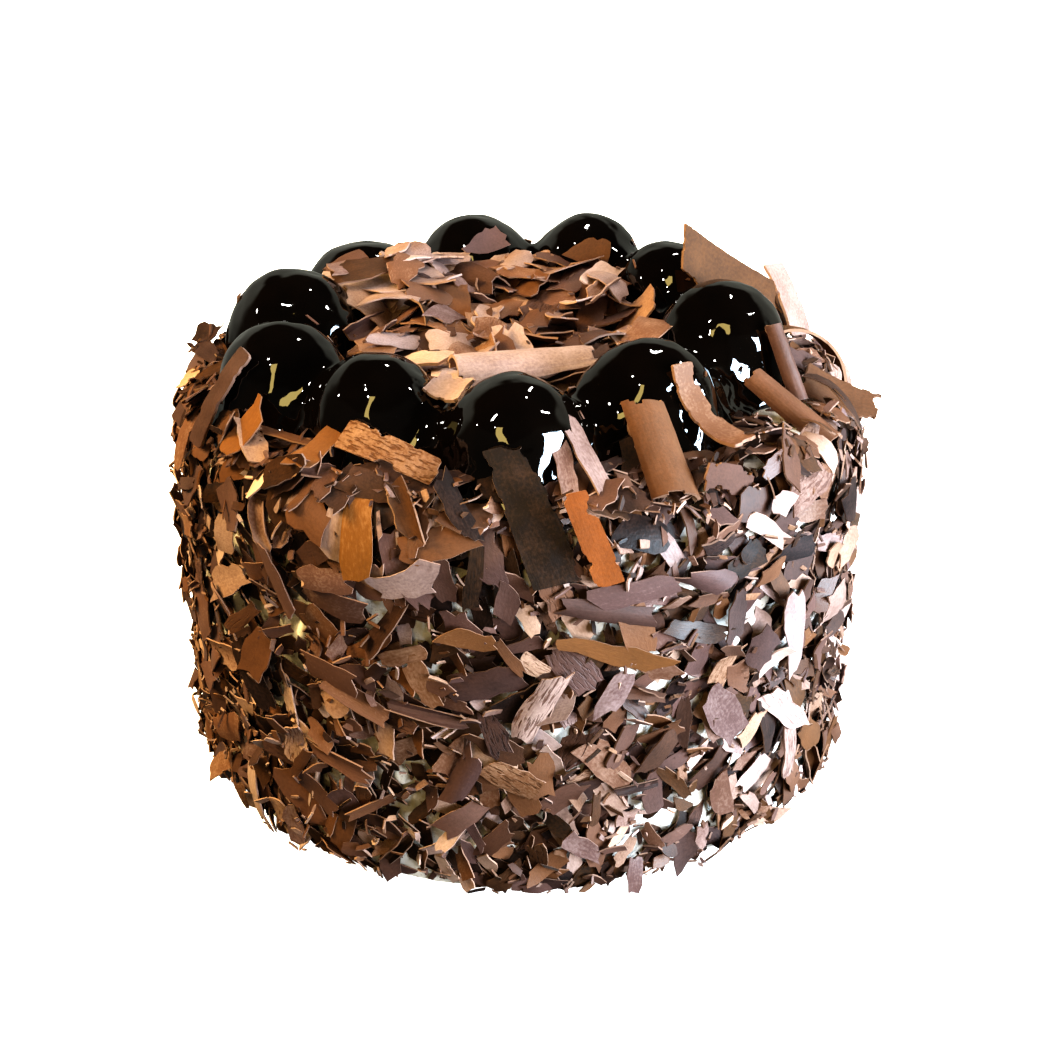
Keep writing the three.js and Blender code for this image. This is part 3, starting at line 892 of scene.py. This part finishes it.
class Kind:
    """The sizes and looks of one kind of flake, and the grid that each is made on."""

    def __init__(self, length, width, thick, grid, curl, rolled, tone, pale, bark):
        self.length = length
        self.width = width
        self.thick = thick
        self.along, self.across = grid
        self.curl = curl
        self.rolled = rolled
        self.tone = tone
        self.pale = pale
        self.bark = bark
        self.placed = []

    def sheet(self):
        """One flake, lying flat at the origin: its points in rows along it."""
        low, high = self.length
        long = low + (high - low) * RANDOM.uniform() ** MOSTLY_SHORT
        low, high = self.width
        wide = min(low + (high - low) * RANDOM.uniform() ** MOSTLY_NARROW, MOST_WIDE * long)
        angle = RANDOM.uniform(*self.curl) * RANDOM.choice((-1, 1))
        rolled = RANDOM.uniform() < self.rolled
        if rolled:
            angle = RANDOM.uniform(*ROLLED_TURN)
        return self.shaped(long, wide, angle, rolled or RANDOM.uniform() < CROSSWISE)

    def side(self, u):
        """How far one long side stands out along a flake: straight to a blunt corner and straight on."""
        corner = RANDOM.uniform(*SIDE_CORNER)
        ends = RANDOM.uniform(*SIDE_ENDS, 2)
        return np.interp(u, [-0.5, corner, 0.5], [ends[0], 1.0, ends[1]])

    def shaped(self, long, wide, angle, crosswise):
        """A broken plate of that size, bent by an angle along it or crosswise."""
        u = np.linspace(-0.5, 0.5, self.along + 1)[:, None]
        v = np.linspace(-0.5, 0.5, self.across + 1)[None, :]
        slants = RANDOM.uniform(*END_SLANT, 2)
        x = long * u + wide * v * (slants[0] * (0.5 - u) + slants[1] * (0.5 + u))
        y = wide * (self.side(u) * np.maximum(v, 0) + self.side(u) * np.minimum(v, 0))
        y += RANDOM.uniform(*ASKEW) * wide * u
        x[[0, -1], :] += RANDOM.normal(0, RAGGED * long, (2, self.across + 1))
        y[:, [0, -1]] += RANDOM.normal(0, RAGGED * wide, (self.along + 1, 2))
        if crosswise:
            y, z = bent(y, angle / wide)
        else:
            x, z = bent(x, angle / long)
        twist = RANDOM.normal(0, TWIST) / long
        return np.stack([x, y, z + twist * x * y], axis=-1)

    def look(self, painted_shade):
        """The look of one flake, with its tone darkened by painted shade where it lies deep in the coat."""
        tone = RANDOM.normal(*self.tone)
        if RANDOM.uniform() < self.pale:
            tone = RANDOM.uniform(*PALE_TONES)
        tone = float(np.clip(tone - painted_shade, *MOST_TONES))
        bark = RANDOM.uniform(*CRACKED) if RANDOM.uniform() < self.bark else 0.0
        warm = RANDOM.uniform() ** MOSTLY_COOL * (MOST_WARM - PALE_MAUVE * tone)
        return tone, bark, warm, RANDOM.uniform()

    def faces(self):
        """Corner numbers of one flake's faces: upper side, under side, then the broken edge."""
        rows, columns = self.along + 1, self.across + 1
        upper = np.arange(rows * columns).reshape(rows, columns)
        under = upper + rows * columns
        corners = [upper[:-1, :-1], upper[1:, :-1], upper[1:, 1:], upper[:-1, 1:]]
        top = np.stack(corners, axis=-1).reshape(-1, 4)
        bottom = top[:, ::-1] + rows * columns
        ring = np.concatenate([upper[:, 0], upper[-1, 1:], upper[-2::-1, -1], upper[0, -2:0:-1]])
        low = ring + rows * columns
        edge = np.stack([np.roll(ring, -1), ring, low, np.roll(low, -1)], axis=-1)
        return np.concatenate([top, bottom, edge]), len(edge)


def sheet_normals(sheet):
    """The way that a flake faces at each of its points."""
    along = np.gradient(sheet, axis=0)
    across = np.gradient(sheet, axis=1)
    normal = np.cross(along, across)
    return normal / np.linalg.norm(normal, axis=-1, keepdims=True)


def finer(sheet, times):
    """The same sheet with points added between its rows and columns."""
    for axis in (0, 1):
        count = sheet.shape[axis]
        steps = np.linspace(0, count - 1, times * (count - 1) + 1)
        low = np.minimum(steps.astype(int), count - 2)
        part = steps - low
        part = part.reshape((-1, 1, 1) if axis == 0 else (1, -1, 1))
        sheet = np.take(sheet, low, axis) * (1 - part) + np.take(sheet, low + 1, axis) * part
    return sheet


class Heights:
    """How far the flakes and what they lie on stand up over a flat map."""

    def __init__(self, start, low, wraps):
        self.map = start
        self.low = low
        self.wraps = wraps

    def cells(self, points):
        first = np.floor((points[..., 0] - self.low[0]) / CELL).astype(int)
        second = np.floor((points[..., 1] - self.low[1]) / CELL).astype(int)
        if self.wraps:
            first = first % self.map.shape[0]
        else:
            first = np.clip(first, 0, self.map.shape[0] - 1)
        return first, np.clip(second, 0, self.map.shape[1] - 1)

    def under(self, points):
        return self.map[self.cells(points)]

    def stamp(self, points):
        np.maximum.at(self.map, self.cells(points), points[..., 2])


def turned(points, yaw, slope, lean, heading):
    """Turns a flake, leans it to a slope and then tips it a little more towards a heading."""
    turn = np.array([[math.cos(yaw), -math.sin(yaw), 0], [math.sin(yaw), math.cos(yaw), 0], [0, 0, 1]])
    up = np.array([-slope[0], -slope[1], 1.0])
    up /= np.linalg.norm(up)
    tip = np.array([math.cos(heading), math.sin(heading), 0]) * math.sin(lean)
    up = up * math.cos(lean) + tip
    up /= np.linalg.norm(up)
    side = np.array([1.0, 0, 0]) - up[0] * up
    side /= np.linalg.norm(side)
    frame_of = np.stack([side, np.cross(up, side), up], axis=1)
    return points @ (frame_of @ turn).T


def slope_under(heights, points, steepest):
    """The mean slope of what lies under a flake."""
    flat = points[..., :2].reshape(-1, 2)
    level = heights.under(points).ravel()
    ground = np.column_stack([flat - flat.mean(axis=0), np.ones(len(flat))])
    slope = np.linalg.lstsq(ground, level, rcond=None)[0][:2]
    size = np.linalg.norm(slope)
    return slope * min(1, steepest / size) if size > 0 else slope


def settle(heights, sheet, thick, spot, yaw, lean, rests=WALL_RESTS, steepest=WALL_STEEPEST):
    """Lays a flake on the heights at a spot. Returns the points of its two sides, and finer points."""
    heading = RANDOM.uniform(0, 2 * math.pi)
    flat = turned(finer(sheet, 2), yaw, (0, 0), 0, 0)
    flat[..., :2] += spot
    slope = slope_under(heights, flat, steepest)
    normals = sheet_normals(sheet)
    half = 0.5 * thick * RANDOM.uniform(*THICK_VARIES)
    solid = np.stack([sheet + half * normals, sheet - half * normals])
    solid = turned(solid, yaw, slope, lean, heading)
    fine = turned(finer(sheet, 4), yaw, slope, lean, heading)
    for points in (solid, fine):
        points[..., :2] += spot
    rise = np.quantile(heights.under(fine) - fine[..., 2], rests)
    solid[..., 2] += rise
    fine[..., 2] += rise
    return solid, fine


def on_wall(points):
    """Points of the wall's flat map, wrapped round the cake and over its shoulder."""
    angle = points[..., 0] / CREAM_RADIUS
    along = points[..., 1]
    over = np.clip((along - WALL_STRAIGHT) / SHOULDER, 0, math.pi / 2)
    past = np.maximum(along - WALL_STRAIGHT - SHOULDER * math.pi / 2, 0)
    out = points[..., 2]
    radius = CREAM_RADIUS - SHOULDER + (SHOULDER + out) * np.cos(over) - past
    height = np.minimum(along, WALL_STRAIGHT) + (SHOULDER + out) * np.sin(over)
    return np.stack([radius * np.cos(angle), radius * np.sin(angle), height], axis=-1)


def flake_piece(name, kind):
    """All of the flakes of one kind as one mesh, with their tone, their broken edges and their grain."""
    solids = np.array([solid for solid, look in kind.placed])
    looks = np.array([look for solid, look in kind.placed])
    count, corners = len(solids), solids[0].size // 3
    one, edges = kind.faces()
    faces = (one[None] + corners * np.arange(count)[:, None, None]).reshape(-1, 4)
    mesh = bpy.data.meshes.new(name)
    mesh.from_pydata(solids.reshape(-1, 3).tolist(), [], faces.tolist())
    for look, values in zip(LOOK_NAMES, looks.T):
        add_values(mesh, look, "POINT", np.repeat(values, corners))
    rim = np.zeros(len(one))
    rim[-edges:] = 1
    add_values(mesh, "rim", "FACE", np.tile(rim, count))
    rows = np.repeat(np.linspace(0, np.mean(kind.length), kind.along + 1), kind.across + 1)
    columns = np.tile(np.linspace(0, np.mean(kind.width), kind.across + 1), kind.along + 1)
    grain = np.tile(np.column_stack([rows, columns]), (2, 1))
    shifts = RANDOM.uniform(0, 1, (count, 1, 2))
    grain = (grain[None] + shifts).reshape(-1, 2)
    layer = mesh.uv_layers.new(name="grain")
    layer.data.foreach_set("uv", grain[faces.ravel()].ravel())
    piece = add_object(name, mesh)
    shade_smooth(piece, FLAKE_CREASE)
    return piece


# Kinds of flake: sizes and the grid of faces, how far they bend in radians, the share that is rolled up, tone
# as its mean and spread, and the shares that are pale and cracked
WALL_SHAVINGS = Kind(
    length=(10 * MM, 21 * MM), width=(5 * MM, 10 * MM), thick=0.4 * MM, grid=(5, 4),
    curl=(0.1, 1.1), rolled=0.08, tone=(0.4, 0.18), pale=0.06, bark=0.1,
)
WALL_FLAKES = Kind(
    length=(5.5 * MM, 14 * MM), width=(2.8 * MM, 7.5 * MM), thick=0.4 * MM, grid=(4, 3),
    curl=(0.05, 0.7), rolled=0.03, tone=(0.4, 0.21), pale=0.06, bark=0.08,
)
# The underlay's low tone is painted shade: these flakes lie deep under the others and are made darker
WALL_UNDERLAY = Kind(
    length=(5.5 * MM, 14 * MM), width=(2.8 * MM, 7.5 * MM), thick=0.4 * MM, grid=(3, 2),
    curl=(0.05, 0.7), rolled=0.03, tone=(0.14, 0.16), pale=0.03, bark=0.05,
)
WALL_CRUMBS = Kind(
    length=(1.2 * MM, 5 * MM), width=(0.6 * MM, 2.0 * MM), thick=0.45 * MM, grid=(2, 1),
    curl=(0.05, 0.4), rolled=0, tone=(0.42, 0.22), pale=0.08, bark=0,
)
RIM_SHAVINGS = Kind(
    length=(9 * MM, 21 * MM), width=(4.5 * MM, 10 * MM), thick=0.45 * MM, grid=(6, 4),
    curl=(0.05, 0.8), rolled=0.08, tone=(0.25, 0.13), pale=0.05, bark=0.1,
)
HEAP_FLAKES = Kind(
    length=(6 * MM, 13 * MM), width=(4 * MM, 9 * MM), thick=0.45 * MM, grid=(4, 3),
    curl=(0.1, 0.8), rolled=0.06, tone=(0.42, 0.16), pale=0.06, bark=0.04,
)
HEAP_SHAVINGS = Kind(
    length=(12 * MM, 26 * MM), width=(8 * MM, 15 * MM), thick=0.5 * MM, grid=(6, 4),
    curl=(0.2, 1.2), rolled=0.1, tone=(0.49, 0.14), pale=0.17, bark=0.05,
)
TOP_CRUMBS = Kind(
    length=(1.2 * MM, 5 * MM), width=(0.6 * MM, 2.2 * MM), thick=0.45 * MM, grid=(2, 1),
    curl=(0.05, 0.5), rolled=0, tone=(0.3, 0.16), pale=0.04, bark=0,
)


def press_in(glaze, tree):
    """Sinks the glaze where a large shaving lies in it."""
    for corner in glaze.data.vertices:
        nearest, normal, number, distance = tree.find_nearest(corner.co, PRESS_REACH)
        if nearest is not None:
            over = (corner.co - nearest).dot(corner.normal) + PRESS_ROOM * (1 - distance / PRESS_REACH)
            corner.co -= corner.normal * max(over, 0)
    glaze.data.update()


def surface_heights(*things):
    """Heights of the cream and glaze, seen from above."""
    graph = bpy.context.evaluated_depsgraph_get()
    trees = [BVHTree.FromObject(thing, graph) for thing in things]
    start = np.full((TOP_CELLS, TOP_CELLS), 0.8 * CREAM_TOP)
    high = Vector((0, 0, 2 * CREAM_TOP))
    down = Vector((0, 0, -1))
    for row in range(TOP_CELLS):
        for column in range(TOP_CELLS):
            high.x = (row + 0.5) * CELL - TOP_REACH
            high.y = (column + 0.5) * CELL - TOP_REACH
            for tree in trees:
                hit = tree.ray_cast(high, down)[0]
                if hit is not None:
                    start[row, column] = max(start[row, column], hit.z)
    return Heights(start, (-TOP_REACH, -TOP_REACH), False)


def joined_tree(things):
    """One tree for finding the nearest of many pieces."""
    corners = []
    faces = []
    for thing in things:
        start = len(corners)
        corners += [corner.co.copy() for corner in thing.data.vertices]
        faces += [[start + number for number in face.vertices] for face in thing.data.polygons]
    return BVHTree.FromPolygons(corners, faces)


def wall_heights(dabs):
    """The wall's flat map, where the dabs of cream stand out."""
    rows = (np.arange(int(WALL_TURN / CELL)) + 0.5) * CELL
    columns = (np.arange(int(WALL_LENGTH / CELL)) + 0.5) * CELL
    along, up = np.meshgrid(rows, columns, indexing="ij")
    return Heights(cream_rise(dabs, along / CREAM_RADIUS, up), (0, 0), True)


def lowest(heights, spots):
    """The spot that lies lowest of a few, so that flakes fill the hollows first."""
    return spots[int(np.argmin([heights.under(spot) for spot in spots]))]


class Scatter:
    """Lays flakes on the wall and the top, clear of the large shavings."""

    def __init__(self, glaze, cream, core, shavings, dabs):
        self.shavings = joined_tree(shavings)
        press_in(glaze, self.shavings)
        self.wall = wall_heights(dabs)
        self.cream = Heights(self.wall.map > DAB_EDGE, self.wall.low, True)
        self.top = surface_heights(glaze, cream, core)

    def clear(self, points, room):
        """Whether a flake keeps that much room from the large shavings."""
        some = points.reshape(-1, 3)[::2]
        return all(self.shavings.find_nearest(point, room)[0] is None for point in some)

    def in_front(self, points):
        """Whether a flake comes between the camera and a large shaving close behind it."""
        for point in points.reshape(-1, 3)[::2]:
            away = (Vector(point) - CAMERA_PLACE).normalized()
            if self.shavings.ray_cast(Vector(point), away, SIGHT)[0] is not None:
                return True
        return False

    def lean(self, usual, steep, share):
        """How far one flake leans, in radians."""
        if RANDOM.uniform() < share:
            return math.radians(RANDOM.uniform(*steep))
        return math.radians(abs(RANDOM.normal(0, usual)))

    def lay_wall(self, kind, count, reach, most, bare, usual, share, painted_shade):
        """Lays flakes that stand out by so much at most and hide so much of a dab of cream at most."""
        for number in range(count):
            spots = np.column_stack([RANDOM.uniform(0, WALL_TURN, TRIES), RANDOM.uniform(*reach, TRIES)])
            spot = lowest(self.wall, spots)
            yaw = RANDOM.uniform(0, 2 * math.pi)
            lean = self.lean(usual, WALL_STEEP, share)
            solid, fine = settle(self.wall, kind.sheet(), kind.thick, spot, yaw, lean)
            if self.cream.under(fine).mean() > bare or fine[..., 2].max() > most:
                continue
            lift = max(0, FLOOR_ROOM - solid[..., 1].min())
            solid[..., 1] += lift
            fine[..., 1] += lift
            if solid[..., 1].max() > WALL_LENGTH:
                continue
            round_cake = on_wall(solid)
            high_up = spot[1] > NEAR_SHAVINGS * WALL_STRAIGHT
            if high_up and not self.clear(round_cake, SHAVING_ROOM):
                continue
            self.wall.stamp(fine)
            self.top.stamp(on_wall(fine))
            kind.placed.append((round_cake, kind.look(painted_shade)))

    def lay_top(self, kind, spots, most, usual, share):
        """Lays flakes on the top that reach so high at most."""
        for few in spots:
            spot = lowest(self.top, few)
            yaw = RANDOM.uniform(0, 2 * math.pi)
            lean = self.lean(usual, TOP_STEEP, share)
            solid, fine = settle(self.top, kind.sheet(), kind.thick, spot, yaw, lean, TOP_RESTS, TOP_STEEPEST)
            if fine[..., 2].max() > most:
                continue
            if not self.clear(solid, SHAVING_ROOM) or self.in_front(solid):
                continue
            self.top.stamp(fine)
            kind.placed.append((solid, kind.look(0)))

    def lay_chosen_on_wall(self, kind, rows):
        """Lays the wall's shavings that the photo picks out."""
        for angle, height, yaw, long, wide, bend, crosswise, *look in rows:
            sheet = kind.shaped(long * MM, wide * MM, bend, crosswise)
            spot = np.array([math.radians(angle) * CREAM_RADIUS, height * MM])
            solid, fine = settle(self.wall, sheet, kind.thick, spot, math.radians(yaw), 0)
            self.wall.stamp(fine)
            self.top.stamp(on_wall(fine))
            kind.placed.append((on_wall(solid), look))

    def lay_chosen(self, kind, rows):
        """Lays the top's shavings that the photo picks out."""
        for x, y, yaw, lean, long, wide, angle, crosswise, *look in rows:
            sheet = kind.shaped(long * MM, wide * MM, angle, crosswise)
            spot = np.array([x, y]) * MM
            turn, tip = math.radians(yaw), math.radians(lean)
            solid, fine = settle(
                self.top, sheet, kind.thick, spot, turn, tip, CHOSEN_RESTS, CHOSEN_STEEPEST
            )
            self.top.stamp(fine)
            kind.placed.append((solid, look))


def ring_spots(count, middle, reach, angles, tries):
    """Places in a ring round a middle, a few for each flake to choose from."""
    near, far = reach
    angle = np.radians(RANDOM.uniform(*angles, (count, tries)))
    radius = np.sqrt(RANDOM.uniform(near * near, far * far, (count, tries)))
    return middle + np.stack([radius * np.cos(angle), radius * np.sin(angle)], axis=-1)


# The wall's flakes in the order that they are laid: kind, count, band of the wall, how far they may stand
# out, how much of a dab of cream they may hide, their usual lean, the share that lean more, and how much
# painted shade darkens their tone
WALL_PASSES = [
    (WALL_CRUMBS, 2600, WHOLE_WALL, 4 * MM, BARE_LITTLE, USUAL_LEAN, 0.1, 0.42),
    (WALL_UNDERLAY, 2400, WHOLE_WALL, 5 * MM, BARE_LITTLE, 8, 0.15, 0.0),
    (WALL_FLAKES, 1500, WHOLE_WALL, 7.5 * MM, BARE_HALF, 14, 0.4, 0.0),
    (WALL_SHAVINGS, 400, WHOLE_WALL, 8.5 * MM, BARE_HALF, 11, 0.3, 0.0),
    (WALL_SHAVINGS, 220, UPPER_WALL, 9 * MM, BARE_HALF, 11, 0.3, 0.08),
    (WALL_FLAKES, 420, WHOLE_WALL, 9 * MM, BARE_HALF, 14, 0.4, 0.0),
    (WALL_CRUMBS, 2200, WHOLE_WALL, 8.5 * MM, BARE_HALF, USUAL_LEAN, STEEP_SHARE, 0.0),
]

# The top's flakes in the order that they are laid: kind, how far above the cream they may reach, their usual
# lean, the share that lean more, then their places: count, middle, reach, angles, and tries for each
AXIS = np.array([0.0, 0.0])
HEAP = np.array(HEAP_MIDDLE.xy)
DRIFT = np.array(DRIFT_PLACE) * MM
RIM_PASSES = [
    (RIM_SHAVINGS, 12.5 * MM, USUAL_LEAN, STEEP_SHARE, (560, AXIS, RIM_REACH, ALL_ROUND, TRIES)),
]
TOP_PASSES = [
    (HEAP_FLAKES, 19 * MM, 14, 0.4, (220, HEAP, HEAP_REACH, ALL_ROUND, TRIES)),
    (HEAP_FLAKES, 22 * MM, 14, 0.4, (130, AXIS, BANK_REACH, BANK_ANGLES, TRIES)),
    (HEAP_SHAVINGS, 22 * MM, 12, 0.35, (150, HEAP, HEAP_REACH, ALL_ROUND, TRIES)),
    (HEAP_SHAVINGS, 24 * MM, 12, 0.35, (60, AXIS, BANK_REACH, BANK_ANGLES, TRIES)),
    (HEAP_SHAVINGS, 29 * MM, USUAL_LEAN, STEEP_SHARE, (40, DRIFT, (0, DRIFT_RADIUS), ALL_ROUND, TRIES)),
    (TOP_CRUMBS, 13 * MM, USUAL_LEAN, STEEP_SHARE, (600, AXIS, RIM_CRUMB_REACH, ALL_ROUND, TRIES)),
    (TOP_CRUMBS, 24 * MM, USUAL_LEAN, STEEP_SHARE, (120, AXIS, WHOLE_TOP, ALL_ROUND, 1)),
]


def scatter_flakes(glaze, cream, core, shavings, dabs):
    """Lays all of the flakes. Returns each kind under the name of its piece."""
    scatter = Scatter(glaze, cream, core, shavings, dabs)
    for wall_pass in WALL_PASSES:
        scatter.lay_wall(*wall_pass)
    scatter.lay_chosen_on_wall(WALL_SHAVINGS, CHOSEN_ON_WALL)
    for kind, most, usual, share, places in RIM_PASSES:
        scatter.lay_top(kind, ring_spots(*places), CREAM_TOP + most, usual, share)
    scatter.lay_chosen(RIM_SHAVINGS, CHOSEN_SHAVINGS)
    for kind, most, usual, share, places in TOP_PASSES:
        scatter.lay_top(kind, ring_spots(*places), CREAM_TOP + most, usual, share)
    return {
        "wall_shavings": WALL_SHAVINGS,
        "wall_flakes": WALL_FLAKES,
        "wall_underlay": WALL_UNDERLAY,
        "wall_crumbs": WALL_CRUMBS,
        "rim_shavings": RIM_SHAVINGS,
        "heap_flakes": HEAP_FLAKES,
        "heap_shavings": HEAP_SHAVINGS,
        "top_crumbs": TOP_CRUMBS,
    }


# Stage

def area_light(name, place, size, power, colour, in_gloss):
    """A soft light that faces the cake."""
    data = bpy.data.lights.new(name, "AREA")
    data.shape = "RECTANGLE"
    data.size, data.size_y = size
    data.energy = power
    data.color = colour
    lamp = add_object(name, data)
    lamp.location = place
    away = Vector((0, 0, LIT_HEIGHT)) - Vector(place)
    lamp.rotation_euler = away.to_track_quat("-Z", "Y").to_euler()
    lamp.visible_glossy = in_gloss


def towards(azimuth, rise, distance):
    """A place round the cake: azimuth from the camera's side towards the right, in degrees."""
    turn, up = math.radians(azimuth), math.radians(rise)
    flat = distance * math.cos(up)
    return (flat * math.sin(turn), -flat * math.cos(turn), distance * math.sin(up) + LIT_HEIGHT)


def studio():
    """The lights, the pale floor and the backdrop round the cake."""
    for name, (azimuth, rise, distance, *light) in LIGHTS.items():
        area_light(name, towards(azimuth, rise, distance), *light)
    for number, (azimuth, rise, size) in enumerate(DOWNLIGHTS):
        place = towards(azimuth, rise, DOWNLIGHT_DISTANCE)
        power = GLINT * size * size
        area_light(f"downlight_{number}", place, (size, size), power, DOWNLIGHT_COLOUR, True)
    bpy.ops.mesh.primitive_plane_add(size=FLOOR_SIZE)
    floor = active("floor")
    pale = Finish("pale_floor", Roughness=0.9, Base_Color=FLOOR_COLOUR)
    pale.set(Emission_Color=WHITE, Emission_Strength=FLOOR_GLOW)
    floor.data.materials.append(pale.material)
    floor.visible_glossy = False
    floor.visible_diffuse = False
    world = bpy.data.worlds.new("studio")
    world.use_nodes = True
    bpy.context.scene.world = world
    sky = Nodes(world.node_tree)
    direction = sky.node("ShaderNodeTexCoord", output="Generated")
    height = sky.node("ShaderNodeSeparateXYZ", {}, {0: direction}, output="Z")
    behind = sky.node("ShaderNodeSeparateXYZ", {}, {0: direction}, output="Y")
    horizon = 1 - sky.between(height, *HORIZON_EDGE)
    seen = sky.node("ShaderNodeLightPath", output="Is Camera Ray")
    mirrored = sky.node("ShaderNodeLightPath", output="Is Glossy Ray")
    back = sky.tree.nodes["Background"]
    band = HORIZON_LIGHT + HORIZON_MIRRORED * mirrored * sky.between(behind, *BEHIND_EDGE)
    dim = BACKDROP_LIGHT + horizon * band
    sky.feed(back.inputs["Strength"], seen + (1 - seen) * dim)
    sky.feed(back.inputs["Color"], sky.mix(seen, BACKDROP_COLOUR, WHITE))
    bpy.context.scene.view_settings.view_transform = "Standard"
    bpy.context.scene.view_settings.look = "High Contrast"


def photo_camera():
    """The camera where the photo was taken from."""
    data = bpy.data.cameras.new("photo_camera")
    data.lens = CAMERA_LENS
    data.sensor_width = CAMERA_SENSOR
    data.shift_x = CAMERA_SHIFT
    camera = add_object("photo_camera", data)
    camera.location = CAMERA_PLACE
    camera.rotation_euler = (-CAMERA_BACK).to_track_quat("-Z", "Y").to_euler()
    bpy.context.scene.camera = camera


# The cake

chocolate = chocolate_finish("shaved_chocolate", MIDDLE_BROWN)
orange_chocolate = chocolate_finish("orange_chocolate", ORANGE_BROWN)
dabs = cream_dabs()
cream = finished(cream_body(), cream_finish(), "flake_coat", "cake_body")
squeeze_out(cream, dabs)
core = finished(heap_core(), crumb_finish(), "heap_flakes", "flake_heap")
glaze = finished(poured_glaze(), glaze_finish(), "poured_glaze", "glaze", *BUNS)
shavings = []
for number, node in enumerate(SHAVINGS):
    piece = large_shaving(node, number + 1, *LARGE_LOOKS.get(node, USUAL_LOOK))
    material = orange_chocolate if node == "shaving_orange" else chocolate
    shavings.append(finished(piece, material, "shaving_chocolate", node))
for name, kind in scatter_flakes(glaze, cream, core, shavings, dabs).items():
    slot = "heap_flakes" if name.startswith("heap_") else "flake_coat"
    finished(flake_piece(name, kind), chocolate, slot)
studio()
photo_camera()
